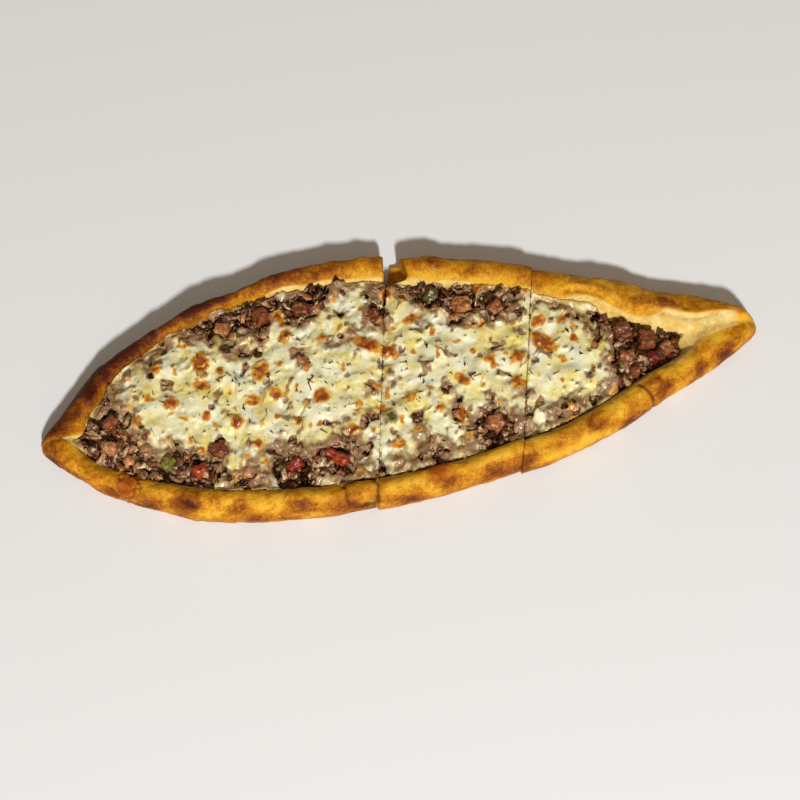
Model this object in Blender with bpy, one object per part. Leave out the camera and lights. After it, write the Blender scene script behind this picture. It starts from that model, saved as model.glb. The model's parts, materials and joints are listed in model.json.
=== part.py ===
"""Turkish pide: an open, boat-shaped flatbread with diced meat, peppers, tomato and melted cheese.

The loaf is one long dough shell with a rolled rim. It is cut across into four slices that stay
together. Each slice has its crust, its filling and its sheet of cheese. The largest diced pieces
sit in pockets of the filling and the cheese. Metres, +Z up, long side along X, resting on z = 0.
"""

import math

import bmesh
import bpy
import numpy as np

# Loaf in plan. A point is (x, y). Both edges run from the left tip to the right tip.
HALF_LENGTH = 0.196
FAR_EDGE = (
    (-0.196, -0.003), (-0.185, 0.009), (-0.158, 0.0355), (-0.102, 0.059), (-0.034, 0.073),
    (0.032, 0.0655), (0.093, 0.0465), (0.151, 0.0225), (0.183, 0.0075), (0.196, -0.0075),
)
NEAR_EDGE = (
    (-0.196, -0.003), (-0.188, -0.0155), (-0.160, -0.0395), (-0.115, -0.0615), (-0.028, -0.0725),
    (0.037, -0.0675), (0.092, -0.057), (0.136, -0.039), (0.182, -0.0195), (0.196, -0.0075),
)
# Foot of the rim's inner wall on the far and the near side, over the length of the trough.
TROUGH_LEFT = -0.181
TROUGH_RIGHT = 0.168
FAR_FOOT = (
    (-0.181, -0.012), (-0.168, 0.000), (-0.156, 0.016), (-0.131, 0.036), (-0.090, 0.052), (-0.040, 0.0555),
    (0.010, 0.049), (0.060, 0.036), (0.100, 0.0175), (0.130, 0.003), (0.168, -0.010),
)
NEAR_FOOT = (
    (-0.181, -0.012), (-0.169, -0.0185), (-0.152, -0.0275), (-0.120, -0.0435), (-0.070, -0.0545),
    (-0.020, -0.0565), (0.040, -0.0515), (0.090, -0.040), (0.130, -0.023), (0.150, -0.017), (0.168, -0.010),
)
CREASE_HALF_WIDTH = 0.0003

# Dough in section
FLOOR_THICKNESS = 0.0045
RIM_HEIGHT_FAR = 0.0205
RIM_HEIGHT_NEAR = 0.0195
RIM_BULGE_HEIGHT = 0.0065
RIM_UNDERCUT = 0.0028
RIDGE_SHARE = 0.46
RIDGE_RIPPLE = 0.0011
EDGE_RIPPLE = 0.0006
FAR_BULGES = ((0.128, 0.009, 0.0012), (0.158, 0.008, 0.0012), (0.176, 0.006, 0.0008))
LEFT_TIP_LIFT = 0.0025
RIGHT_TIP_LIFT = 0.005
TIP_LIFT_LENGTH = 0.040
TIP_ROUNDING = 20
STATIONS = 58
TIP_ANGLE = 0.06

# Filling and cheese
FILLING_LEFT = -0.1745
FILLING_RIGHT = 0.151
FILLING_SIDE_HEIGHT = 0.0132
FILLING_CROWN = 0.0022
FILLING_ROWS = 7
CHEESE_LEFT = -0.153
CHEESE_RIGHT = 0.119
CHEESE_NEAR_SHARE = 0.15
CHEESE_FAR_SHARE = 0.90
CHEESE_EDGE_WAVE = 0.045
CHEESE_THICKNESS = 0.0026
CHEESE_EDGE_THICKNESS = 0.0010
CHEESE_ROWS = 9
GAP = 0.00035
WALL_GAP = 0.0006

# Cuts: where each crosses y = 0, and how far it leans along X for each metre of Y.
CUTS = {"a": (-0.0898, 0.1705), "b": (-0.0109, 0.225), "c": (0.0689, 0.277)}
CUT_GAP = {"a": 0.0004, "b": 0.0005, "c": 0.0005}
OPENING_FROM = 0.036
OPENING_LEAN = {"a": 0.0, "b": 0.055, "c": 0.0}
CUTTER_REACH = 0.11
CUTTER_LOW = -0.01
CUTTER_HIGH = 0.05
SLICE_SHIFTS = ((0.0, 0.0), (0.0, 0.0006), (0.0004, -0.0006), (0.0001, -0.0022))

# Cracks and broken bits in plan
STRIP = ((0.0780, 0.0600), (0.0925, 0.0560), (0.1000, 0.0205), (0.0700, 0.0275))
WEDGE = ((0.0445, -0.0490), (0.0620, -0.0470), (0.0560, -0.0760), (0.0478, -0.0760))
BIT_GAP = 0.0004
NOTCHES = {
    "notch_a_far": ((-0.0815, 0.070), (-0.0765, 0.070), (-0.0795, 0.0615)),
    "notch_a_near": ((-0.1045, -0.072), (-0.0985, -0.072), (-0.1012, -0.0620)),
    "notch_b_far": ((0.0030, 0.080), (0.0085, 0.080), (0.0135, 0.0530), (-0.0005, 0.0530)),
    "notch_c_near": ((0.0480, -0.074), (0.0545, -0.074), (0.0512, -0.0625)),
}
CRACK = ((0.1215, -0.0325), (0.1315, -0.0455))
CRACK_WIDTH = 0.0009
CRACK_BOTTOM = 0.0120
NOTCH_BOTTOM = {"notch_b_far": 0.0036}

# Largest diced pieces: name, x, y, length, width, height, turn in degrees, lean in degrees
TOPPINGS = (
    ("meat_1", 0.1205, -0.0005, 0.0100, 0.0105, 0.0085, 12, 8),
    ("meat_2", 0.1325, -0.0070, 0.0095, 0.0105, 0.0090, -10, -7),
    ("meat_3", 0.1425, -0.0130, 0.0078, 0.0070, 0.0075, 25, 10),
    ("meat_4", 0.1195, -0.0150, 0.0085, 0.0075, 0.0075, -30, 6),
    ("meat_5", -0.0512, 0.0112, 0.0078, 0.0110, 0.0080, -8, 9),
    ("meat_6", -0.0688, 0.0440, 0.0095, 0.0085, 0.0080, 30, -8),
    ("meat_7", -0.0905, 0.0410, 0.0090, 0.0080, 0.0075, -14, 7),
    ("meat_8", 0.0390, 0.0310, 0.0095, 0.0110, 0.0080, 8, -9),
    ("meat_9", 0.0560, 0.0255, 0.0100, 0.0075, 0.0080, 20, 8),
    ("meat_10", -0.1030, -0.0285, 0.0100, 0.0095, 0.0085, 15, -6),
    ("meat_11", -0.1560, -0.0020, 0.0085, 0.0080, 0.0075, 35, 5),
    ("meat_12", -0.1590, -0.0155, 0.0090, 0.0075, 0.0075, -20, 6),
    ("meat_13", -0.0470, 0.0450, 0.0090, 0.0070, 0.0075, -25, 8),
    ("meat_14", 0.0420, -0.0400, 0.0095, 0.0085, 0.0080, 10, -8),
    ("meat_15", -0.0105, 0.0330, 0.0090, 0.0085, 0.0080, -35, 7),
    ("tomato_1", 0.1330, -0.0175, 0.0078, 0.0060, 0.0070, 5, -6),
    ("tomato_2", -0.0430, -0.0440, 0.0140, 0.0055, 0.0065, -38, 5),
    ("tomato_3", -0.1140, -0.0370, 0.0085, 0.0070, 0.0065, 28, -6),
    ("tomato_4", -0.0655, -0.0440, 0.0090, 0.0065, 0.0065, 18, 7),
    ("pepper_1", 0.0240, 0.0405, 0.0090, 0.0060, 0.0065, 25, 9),
    ("pepper_2", -0.0115, -0.0270, 0.0095, 0.0065, 0.0065, -60, 6),
    ("pepper_3", -0.1300, -0.0300, 0.0090, 0.0060, 0.0065, 40, -7),
)
TOPPING_SINK = 0.62
TOPPING_BEVEL = 0.0011

# Colour, roughness and metallic value of each material
FINISHES = {
    "crust": ((0.62, 0.33, 0.09), 0.62, 0.0),
    "filling": ((0.20, 0.09, 0.05), 0.50, 0.0),
    "cheese": ((0.82, 0.75, 0.46), 0.35, 0.0),
    "meat": ((0.30, 0.11, 0.07), 0.45, 0.0),
    "tomato": ((0.48, 0.05, 0.02), 0.30, 0.0),
    "pepper": ((0.18, 0.24, 0.05), 0.35, 0.0),
}


def clear_scene():
    for old in list(bpy.data.objects):
        bpy.data.objects.remove(old, do_unlink=True)


def make_collection(name, helper=False):
    made = bpy.data.collections.new(name)
    made.hide_render = helper
    bpy.context.scene.collection.children.link(made)
    return made


def make_materials():
    """One Principled material for each kind of food."""
    made = {}
    for name, (colour, roughness, metallic) in FINISHES.items():
        material = bpy.data.materials.new(name)
        material.use_nodes = True
        shader = material.node_tree.nodes["Principled BSDF"]
        shader.inputs["Base Color"].default_value = (*colour, 1.0)
        shader.inputs["Roughness"].default_value = roughness
        shader.inputs["Metallic"].default_value = metallic
        made[name] = material
    return made


def smooth_curve(points, low, high):
    """A function y(x) through the points, smooth, and round where it meets low and high."""
    knots = np.array(points)
    half = (high - low) / 2
    middle = (high + low) / 2

    def angle(x):
        return np.arccos(np.clip((middle - x) / half, -1.0, 1.0))

    at = angle(knots[:, 0])
    y = knots[:, 1]
    slopes = np.gradient(y, at)

    def value(x):
        here = float(angle(x))
        i = int(np.clip(np.searchsorted(at, here) - 1, 0, len(at) - 2))
        step = at[i + 1] - at[i]
        t = (here - at[i]) / step
        rise = (1 + 2 * t) * (1 - t) ** 2 * y[i] + t * t * (3 - 2 * t) * y[i + 1]
        bend = t * (1 - t) ** 2 * slopes[i] - t * t * (1 - t) * slopes[i + 1]
        return rise + step * bend

    return value


def ease(t):
    t = min(max(t, 0.0), 1.0)
    return t * t * (3 - 2 * t)


def ripple(x, phase):
    """An uneven wave between about -1 and 1, as hand-pressed dough has."""
    return (
        0.50 * math.sin(x / 0.0090 + phase)
        + 0.30 * math.sin(x / 0.0052 + 2.1 * phase)
        + 0.20 * math.sin(x / 0.0161 + 0.7 * phase)
    )


class Loaf:
    """Section of the dough shell at any x."""

    def __init__(self):
        self.far_edge = smooth_curve(FAR_EDGE, -HALF_LENGTH, HALF_LENGTH)
        self.near_edge = smooth_curve(NEAR_EDGE, -HALF_LENGTH, HALF_LENGTH)
        self.far_foot = smooth_curve(FAR_FOOT, TROUGH_LEFT, TROUGH_RIGHT)
        self.near_foot = smooth_curve(NEAR_FOOT, TROUGH_LEFT, TROUGH_RIGHT)

    def stations(self):
        turns = np.linspace(TIP_ANGLE, math.pi - TIP_ANGLE, STATIONS)
        return [-HALF_LENGTH * math.cos(turn) for turn in turns]

    def edges(self, x):
        """Outer y of the far and the near rim."""
        swell = sum(size * math.exp(-(((x - at) / width) ** 2)) for at, width, size in FAR_BULGES)
        fade = 1 - (abs(x) / HALF_LENGTH) ** 8
        far = self.far_edge(x) + fade * (EDGE_RIPPLE * ripple(x, 1.3) + swell)
        near = self.near_edge(x) + fade * EDGE_RIPPLE * ripple(x, 4.1)
        return far, near

    def feet(self, x):
        """y where the inner walls meet the floor. Past the trough they close to a crease."""
        far, near = self.edges(x)
        middle = (far + near) / 2
        if not TROUGH_LEFT < x < TROUGH_RIGHT:
            return middle + CREASE_HALF_WIDTH, middle - CREASE_HALF_WIDTH
        ends = ease((x - TROUGH_LEFT) / 0.012) * ease((TROUGH_RIGHT - x) / 0.012)
        far_foot = middle + (self.far_foot(x) - middle) * ends
        near_foot = middle + (self.near_foot(x) - middle) * ends
        centre = (far_foot + near_foot) / 2
        return max(far_foot, centre + CREASE_HALF_WIDTH), min(near_foot, centre - CREASE_HALF_WIDTH)

    def lift(self, x):
        """How far the underside rises towards a tip."""
        left = ease((-x - HALF_LENGTH + TIP_LIFT_LENGTH) / TIP_LIFT_LENGTH)
        right = ease((x - HALF_LENGTH + TIP_LIFT_LENGTH) / TIP_LIFT_LENGTH)
        return LEFT_TIP_LIFT * left + RIGHT_TIP_LIFT * right

    def heights(self, x):
        """Heights of the far ridge, the near ridge and the floor above the underside."""
        tip = math.sqrt(1 - min(abs(x) / HALF_LENGTH, 0.999) ** TIP_ROUNDING)
        slim = 1 - 0.18 * ease((abs(x) - 0.120) / 0.060)
        far = (RIM_HEIGHT_FAR + RIDGE_RIPPLE * ripple(x, 0.4)) * slim * tip
        near = (RIM_HEIGHT_NEAR + RIDGE_RIPPLE * ripple(x, 2.9)) * slim * tip
        shut = 1 - ease((x - TROUGH_LEFT) / 0.016) * ease((TROUGH_RIGHT - x) / 0.030)
        crease = 0.90 * min(far, near)
        return far, near, FLOOR_THICKNESS + (crease - FLOOR_THICKNESS) * shut

    def rim(self, edge, foot, ridge, floor, tip):
        """(y, z) points over one rim, from its outer bottom edge to the foot of its inner wall."""
        side = 1 if edge > foot else -1
        width = abs(edge - foot)
        out = RIDGE_SHARE * width
        under = min(RIM_UNDERCUT, 0.3 * width)
        belly = min(RIM_BULGE_HEIGHT, 0.35 * ridge) * tip
        points = [
            (edge - side * under, 0.0),
            (edge - side * 0.28 * under, 0.28 * belly),
            (edge, belly),
        ]
        for turn in np.radians((30, 60, 90)):
            points.append((edge - side * out * (1 - math.cos(turn)), belly + (ridge - belly) * math.sin(turn)))
        for turn in np.radians((22.5, 45, 67.5, 90)):
            y = edge - side * (out + (width - out) * math.sin(turn))
            points.append((y, floor + (ridge - floor) * math.cos(turn)))
        return points

    def walls(self, x):
        """The far and the near rim's points at x, without the lift."""
        far_edge, near_edge = self.edges(x)
        far_foot, near_foot = self.feet(x)
        far_ridge, near_ridge, floor = self.heights(x)
        tip = math.sqrt(1 - min(abs(x) / HALF_LENGTH, 0.999) ** TIP_ROUNDING)
        far = self.rim(far_edge, far_foot, far_ridge, floor, tip)
        near = self.rim(near_edge, near_foot, near_ridge, floor, tip)
        return far, near, floor

    def ring(self, x):
        """The closed section of the shell."""
        far, near, floor = self.walls(x)
        rise = self.lift(x)
        floor_middle = ((far[-1][0] + near[-1][0]) / 2, floor)
        base_middle = ((far[0][0] + near[0][0]) / 2, 0.0)
        outline = far + [floor_middle] + near[::-1] + [base_middle]
        return [(x, y, z + rise) for y, z in outline]


class Filling:
    """Section of the filling, which lies against the loaf's inner walls."""

    def __init__(self, loaf):
        self.loaf = loaf

    def stations(self):
        return [x for x in self.loaf.stations() if FILLING_LEFT < x < FILLING_RIGHT]

    def side_height(self, x):
        ends = ease((x - FILLING_LEFT) / 0.020) * ease((FILLING_RIGHT - x) / 0.030)
        floor = self.loaf.heights(x)[2]
        return floor + 0.003 + (FILLING_SIDE_HEIGHT - FLOOR_THICKNESS - 0.003) * ends

    def slant(self, x):
        """How much wider a gap along Y has to be where the walls run at a slant."""
        step = 0.003
        before, after = self.loaf.feet(x - step), self.loaf.feet(x + step)
        steepest = max(abs(after[i] - before[i]) for i in range(2)) / (2 * step)
        return math.hypot(1, steepest)

    def side(self, wall, height, inwards):
        """(y, z) points up one wall: its foot, its bends and the top of the filling."""
        inner = sorted(wall[5:], key=lambda point: point[1])
        z = [point[1] for point in inner]
        y = [point[0] for point in inner]
        levels = (z[0] + GAP, min(z[1], height - 0.001), min(z[2], height - 0.0005), height)
        return [(float(np.interp(level, z, y)) + inwards, level) for level in levels]

    def top(self, x):
        """(y, z) points across the top, near side first, both edges included."""
        far, near, _ = self.loaf.walls(x)
        height = self.side_height(x)
        gap = WALL_GAP * self.slant(x)
        far_y, far_z = self.side(far, height, -gap)[-1]
        near_y, _ = self.side(near, height, gap)[-1]
        crown = FILLING_CROWN * (1 + 0.25 * ripple(x, 5.2))
        shares = np.linspace(0, 1, FILLING_ROWS)
        return [(near_y + (far_y - near_y) * s, far_z + crown * 4 * s * (1 - s)) for s in shares]

    def ring(self, x):
        far, near, _ = self.loaf.walls(x)
        height = self.side_height(x)
        gap = WALL_GAP * self.slant(x)
        far_side = self.side(far, height, -gap)[:-1]
        near_side = self.side(near, height, gap)[:-1]
        outline = far_side + self.top(x)[::-1] + near_side[::-1]
        rise = self.loaf.lift(x)
        return [(x, y, z + rise) for y, z in outline]


class Cheese:
    """Section of the melted cheese on the filling."""

    def __init__(self, filling):
        self.filling = filling

    def stations(self):
        return [x for x in self.filling.stations() if CHEESE_LEFT < x < CHEESE_RIGHT]

    def ring(self, x):
        top = self.filling.top(x)
        top_y = [point[0] for point in top]
        top_z = [point[1] for point in top]
        pinch = 1 - ease((x - CHEESE_LEFT) / 0.022) * ease((CHEESE_RIGHT - x) / 0.022)
        low = CHEESE_NEAR_SHARE + CHEESE_EDGE_WAVE * ripple(1.3 * x, 0.9) + 0.20 * pinch
        high = CHEESE_FAR_SHARE + CHEESE_EDGE_WAVE * ripple(1.3 * x, 3.3) - 0.20 * pinch
        shares = np.linspace(low, high, CHEESE_ROWS)
        width = top_y[-1] - top_y[0]
        under, over = [], []
        for i, share in enumerate(shares):
            y = top_y[0] + width * share
            z = float(np.interp(y, top_y, top_z)) + GAP
            inside = math.sin(math.pi * i / (CHEESE_ROWS - 1)) ** 0.6
            lumps = 1 + 0.22 * ripple(1.7 * x, 40 * share)
            thickness = CHEESE_EDGE_THICKNESS + (CHEESE_THICKNESS - CHEESE_EDGE_THICKNESS) * inside * lumps
            under.append((y, z))
            over.append((y, z + thickness))
        rise = self.filling.loaf.lift(x)
        return [(x, y, z + rise) for y, z in over[::-1] + under]


def loft_mesh(name, rings):
    """A closed mesh through rings that all have the same number of points."""
    shape = bmesh.new()
    rows = [[shape.verts.new(point) for point in ring] for ring in rings]
    count = len(rows[0])
    for one, two in zip(rows, rows[1:]):
        for i in range(count):
            j = (i + 1) % count
            shape.faces.new((one[i], one[j], two[j], two[i]))
    shape.faces.new(rows[0][::-1])
    shape.faces.new(rows[-1])
    bmesh.ops.recalc_face_normals(shape, faces=shape.faces)
    mesh = bpy.data.meshes.new(name)
    shape.to_mesh(mesh)
    shape.free()
    return mesh


def prism_mesh(name, corners, low, high, spread=0.0):
    """An upright prism over corners in plan, each moved out from their centre by spread."""
    plan = np.array(corners)
    centre = plan.mean(axis=0)
    out = plan - centre
    plan = plan + spread * out / np.linalg.norm(out, axis=1)[:, None]
    return loft_mesh(name, [[(x, y, z) for x, y in plan] for z in (low, high)])


def chunk_mesh(name, size, grow=0.0):
    """A diced piece: a rounded cuboid with its upper end a little narrower."""
    shape = bmesh.new()
    bmesh.ops.create_cube(shape, size=1.0)
    for vert in shape.verts:
        taper = 0.86 if vert.co.z > 0 else 1.0
        vert.co.x *= taper * size[0] + grow
        vert.co.y *= taper * size[1] + grow
        vert.co.z *= size[2] + grow
    bmesh.ops.bevel(
        shape, geom=shape.edges, offset=TOPPING_BEVEL, segments=1, profile=0.5, affect="EDGES"
    )
    bmesh.ops.recalc_face_normals(shape, faces=shape.faces)
    mesh = bpy.data.meshes.new(name)
    shape.to_mesh(mesh)
    shape.free()
    return mesh


def add_object(name, mesh, collection, parent, material=None):
    made = bpy.data.objects.new(name, mesh)
    collection.objects.link(made)
    made.parent = parent
    if material:
        if not mesh.materials:
            mesh.materials.append(material)
    else:
        made.hide_render = True
        made.display_type = "WIRE"
    return made


def add_boolean(target, name, operation, cutter):
    boolean = target.modifiers.new(name, "BOOLEAN")
    boolean.operation = operation
    boolean.solver = "EXACT"
    boolean.object = cutter


def add_empty(name, collection, parent=None, place=(0.0, 0.0, 0.0)):
    made = bpy.data.objects.new(name, None)
    collection.objects.link(made)
    made.parent = parent
    made.location = place
    return made


def cut_x(cut, y, side):
    """x of one face of a cut at y. side is -1 for the slice on its left and 1 for the right."""
    at, lean = CUTS[cut]
    opening = OPENING_LEAN[cut] * max(y - OPENING_FROM, 0.0)
    return at + lean * y + side * (CUT_GAP[cut] + opening) / 2


def slice_plan(index):
    """The corners in plan of the space that slice index takes up."""
    names = [None, *CUTS, None]
    left, right = names[index], names[index + 1]
    reach = CUTTER_REACH
    across = (-reach, OPENING_FROM, reach)
    left_side = [(cut_x(left, y, 1) if left else -2 * reach, y) for y in across]
    right_side = [(cut_x(right, y, -1) if right else 2 * reach, y) for y in across]
    return left_side + right_side[::-1]


def slice_of(x, y):
    return sum(x > at + lean * y for at, lean in CUTS.values())


class Pide:
    """Builds every piece and keeps the collections and materials they share."""

    def __init__(self):
        self.parts = make_collection("turkish_pide")
        self.cutters = make_collection("cutters", helper=True)
        self.materials = make_materials()
        self.root = add_empty("pide", self.parts)
        self.slices = [
            add_empty(f"slice_{i + 1}", self.parts, self.root, (*shift, 0.0))
            for i, shift in enumerate(SLICE_SHIFTS)
        ]
        self.loaf = Loaf()
        self.filling = Filling(self.loaf)
        self.cheese = Cheese(self.filling)

    def cutter(self, name, mesh, index):
        return add_object(name, mesh, self.cutters, self.slices[index])

    def slice_layers(self):
        """Crust, filling and cheese, each cut into slices."""
        layers = {
            "crust": loft_mesh("loaf", [self.loaf.ring(x) for x in self.loaf.stations()]),
            "filling": loft_mesh("filling", [self.filling.ring(x) for x in self.filling.stations()]),
            "cheese": loft_mesh("cheese", [self.cheese.ring(x) for x in self.cheese.stations()]),
        }
        made = {}
        for index in range(len(self.slices)):
            number = index + 1
            plan = prism_mesh(f"slice_space_{number}", slice_plan(index), CUTTER_LOW, CUTTER_HIGH)
            space = self.cutter(f"slice_space_{number}", plan, index)
            for layer, mesh in layers.items():
                name = f"{layer}_{number}"
                piece = add_object(
                    name, mesh, self.parts, self.slices[index], self.materials[layer]
                )
                add_boolean(piece, "slice", "INTERSECT", space)
                made[name] = piece
        return made

    def broken_bit(self, name, corners, index, made):
        """A bit of rim that a crack parts from its slice."""
        number = index + 1
        crust = made[f"crust_{number}"]
        kept = prism_mesh(f"{name}_space", corners, CUTTER_LOW, CUTTER_HIGH, -BIT_GAP / 2)
        taken = prism_mesh(f"{name}_cut", corners, CUTTER_LOW, CUTTER_HIGH, BIT_GAP / 2)
        bit = add_object(name, crust.data, self.parts, self.slices[index], self.materials["crust"])
        space = bpy.data.objects[f"slice_space_{number}"]
        add_boolean(bit, "slice", "INTERSECT", space)
        add_boolean(bit, "bit", "INTERSECT", self.cutter(f"{name}_space", kept, index))
        add_boolean(crust, name, "DIFFERENCE", self.cutter(f"{name}_cut", taken, index))
        made[name] = bit

    def notch(self, name, corners, made, targets):
        """A small piece of crust that came away at the end of a cut."""
        index = int(targets[0][-1]) - 1
        mesh = prism_mesh(name, corners, NOTCH_BOTTOM.get(name, CUTTER_LOW), CUTTER_HIGH)
        cutter = self.cutter(name, mesh, index)
        for target in targets:
            add_boolean(made[target], name, "DIFFERENCE", cutter)

    def crack(self, made):
        """The narrow crack over the near rim of the last slice."""
        (x1, y1), (x2, y2) = CRACK
        along = np.array((x2 - x1, y2 - y1))
        across = np.array((-along[1], along[0])) / np.linalg.norm(along) * CRACK_WIDTH / 2
        start, end = np.array(CRACK)
        corners = [start - across, end - across, end + across, start + across]
        mesh = prism_mesh("crack", corners, CRACK_BOTTOM, CUTTER_HIGH)
        add_boolean(made["crust_4"], "crack", "DIFFERENCE", self.cutter("crack", mesh, 3))

    def topping(self, row, made):
        """A diced piece, and its pocket in the filling and the cheese."""
        name, x, y, length, width, height, turn, lean = row
        index = slice_of(x, y)
        top = self.filling.top(x)
        surface = float(np.interp(y, [p[0] for p in top], [p[1] for p in top])) + self.loaf.lift(x)
        place = (x, y, surface + height * (0.5 - TOPPING_SINK) + CHEESE_THICKNESS)
        angles = (math.radians(lean), math.radians(-lean), math.radians(turn))
        size = (length, width, height)
        kind = name.split("_")[0]
        chunk = add_object(
            name, chunk_mesh(name, size), self.parts, self.slices[index], self.materials[kind]
        )
        pocket = self.cutter(f"{name}_pocket", chunk_mesh(f"{name}_pocket", size, 2 * GAP), index)
        for item in (chunk, pocket):
            item.location = place
            item.rotation_euler = angles
        for layer in ("filling", "cheese"):
            add_boolean(made[f"{layer}_{index + 1}"], name, "DIFFERENCE", pocket)

    def settle(self):
        """Moves the whole so that the middle of its underside's box is the origin."""
        bpy.context.view_layer.update()
        graph = bpy.context.evaluated_depsgraph_get()
        corners = []
        for piece in self.parts.objects:
            if piece.type == "MESH":
                shown = piece.evaluated_get(graph)
                corners += [shown.matrix_world @ vert.co for vert in shown.data.vertices]
        low = np.min(corners, axis=0)
        high = np.max(corners, axis=0)
        self.root.location = (-(low[0] + high[0]) / 2, -(low[1] + high[1]) / 2, -low[2])

    def smooth_tops(self):
        for piece in self.parts.objects:
            if piece.type == "MESH":
                piece.data.shade_smooth()
                piece.data.set_sharp_from_angle(angle=math.radians(40))


def main():
    clear_scene()
    pide = Pide()
    made = pide.slice_layers()
    pide.broken_bit("crust_strip", STRIP, 3, made)
    pide.broken_bit("crust_wedge", WEDGE, 2, made)
    pide.notch("notch_a_far", NOTCHES["notch_a_far"], made, ("crust_1", "crust_2"))
    pide.notch("notch_a_near", NOTCHES["notch_a_near"], made, ("crust_1", "crust_2"))
    pide.notch("notch_b_far", NOTCHES["notch_b_far"], made, ("crust_3",))
    pide.notch("notch_c_near", NOTCHES["notch_c_near"], made, ("crust_3",))
    pide.crack(made)
    for row in TOPPINGS:
        pide.topping(row, made)
    pide.smooth_tops()
    pide.settle()


main()
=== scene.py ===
"""Looks of a Turkish pide: an open, boat-shaped flatbread that a knife parts into four slices.

The dough is one baked loaf, cut across. The filling is a bed of juices with minced and diced meat,
onion and pepper strewn over it, and the melted cheese is a sheet draped on what lies beneath it.
Metres, +Z up, long side along X, resting on z = 0.
"""

import json
import logging
import math
from dataclasses import dataclass, field
from enum import Enum

import bmesh
import bpy
import numpy as np
from mathutils import Matrix, Vector
from mathutils.bvhtree import BVHTree

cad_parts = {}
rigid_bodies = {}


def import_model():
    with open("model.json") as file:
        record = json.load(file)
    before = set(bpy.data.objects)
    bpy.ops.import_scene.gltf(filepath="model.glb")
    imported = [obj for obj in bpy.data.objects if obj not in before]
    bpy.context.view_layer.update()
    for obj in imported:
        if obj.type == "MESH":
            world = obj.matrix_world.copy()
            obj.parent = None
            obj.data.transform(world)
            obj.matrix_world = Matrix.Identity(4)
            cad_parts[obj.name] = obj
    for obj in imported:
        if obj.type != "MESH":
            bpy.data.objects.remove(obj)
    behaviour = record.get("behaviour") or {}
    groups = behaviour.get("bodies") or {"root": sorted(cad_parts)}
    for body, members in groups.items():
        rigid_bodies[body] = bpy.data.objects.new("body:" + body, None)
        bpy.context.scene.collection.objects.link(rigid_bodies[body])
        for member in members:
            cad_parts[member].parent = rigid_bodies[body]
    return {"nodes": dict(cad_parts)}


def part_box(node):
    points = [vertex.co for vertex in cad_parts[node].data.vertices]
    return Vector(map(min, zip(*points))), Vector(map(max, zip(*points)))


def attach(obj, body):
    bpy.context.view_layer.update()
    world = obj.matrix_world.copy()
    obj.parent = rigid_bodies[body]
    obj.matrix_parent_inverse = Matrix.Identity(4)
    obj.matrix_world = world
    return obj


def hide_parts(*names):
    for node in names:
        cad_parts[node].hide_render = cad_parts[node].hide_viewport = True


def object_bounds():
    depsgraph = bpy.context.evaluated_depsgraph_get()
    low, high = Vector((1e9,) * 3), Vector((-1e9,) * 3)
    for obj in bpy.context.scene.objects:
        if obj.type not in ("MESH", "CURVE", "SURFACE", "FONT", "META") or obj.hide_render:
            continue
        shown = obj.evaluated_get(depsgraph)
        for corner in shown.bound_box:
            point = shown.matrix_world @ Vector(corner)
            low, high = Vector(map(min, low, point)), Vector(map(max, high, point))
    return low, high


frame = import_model()
CAD_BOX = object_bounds()

Array = np.ndarray
Colour = tuple[float, float, float, float]
Point = tuple[float, float]

LOG = logging.getLogger("pide")
MM = 0.001


class Side(Enum):
    """The long side of the loaf, by its direction along Y."""

    FAR = 1.0
    NEAR = -1.0


class Kind(Enum):
    """What a strewn bit or a large topping is made of."""

    MINCE = "mince"
    MEAT = "meat"
    ONION = "onion"
    PEPPER = "pepper"
    TOMATO = "tomato"
    BED = "bed"
    CRUST = "crust"


def tone(red: float, green: float, blue: float) -> Colour:
    """Linear colour of a tone that is given from 0 to 255."""
    linear = [((c / 255 + 0.055) / 1.055) ** 2.4 if c > 10 else c / 255 / 12.92 for c in (red, green, blue)]
    return (linear[0], linear[1], linear[2], 1.0)


def ease(values: Array, low: float, high: float) -> Array:
    """Smooth step from 0 at low to 1 at high.

    Args:
        values: What is compared, of any shape.
        low: Where the step starts. It may lie above high, and then the step falls.
        high: Where the step ends.

    Returns:
        Values from 0 to 1, of the same shape.
    """
    share = np.clip((values - low) / (high - low), 0.0, 1.0)
    return share * share * (3 - 2 * share)


def waver(x: Array, one: float, two: float) -> Array:
    """Gentle wave along the loaf: two waves with lengths and heights of their own."""
    return one * np.sin(x / (6.2 * MM)) + two * np.sin(x / (10.5 * MM) + 1.0)


def dome(points: Array, x: float, y: float, radius: float) -> Array:
    """Round hump of height 1 about (x, y) in plan, gone at about twice the radius."""
    return np.exp(-(((points[:, 0] - x) ** 2 + (points[:, 1] - y) ** 2) / radius**2))


def under_top(heights: Array, room: float = 2 * MM) -> Array:
    """Heights pressed down softly within the last few millimetres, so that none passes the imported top."""
    over = np.maximum(heights - (CAD_BOX[1].z - room), 0.0)
    return heights - over + over / (1 + over / room)


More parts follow.
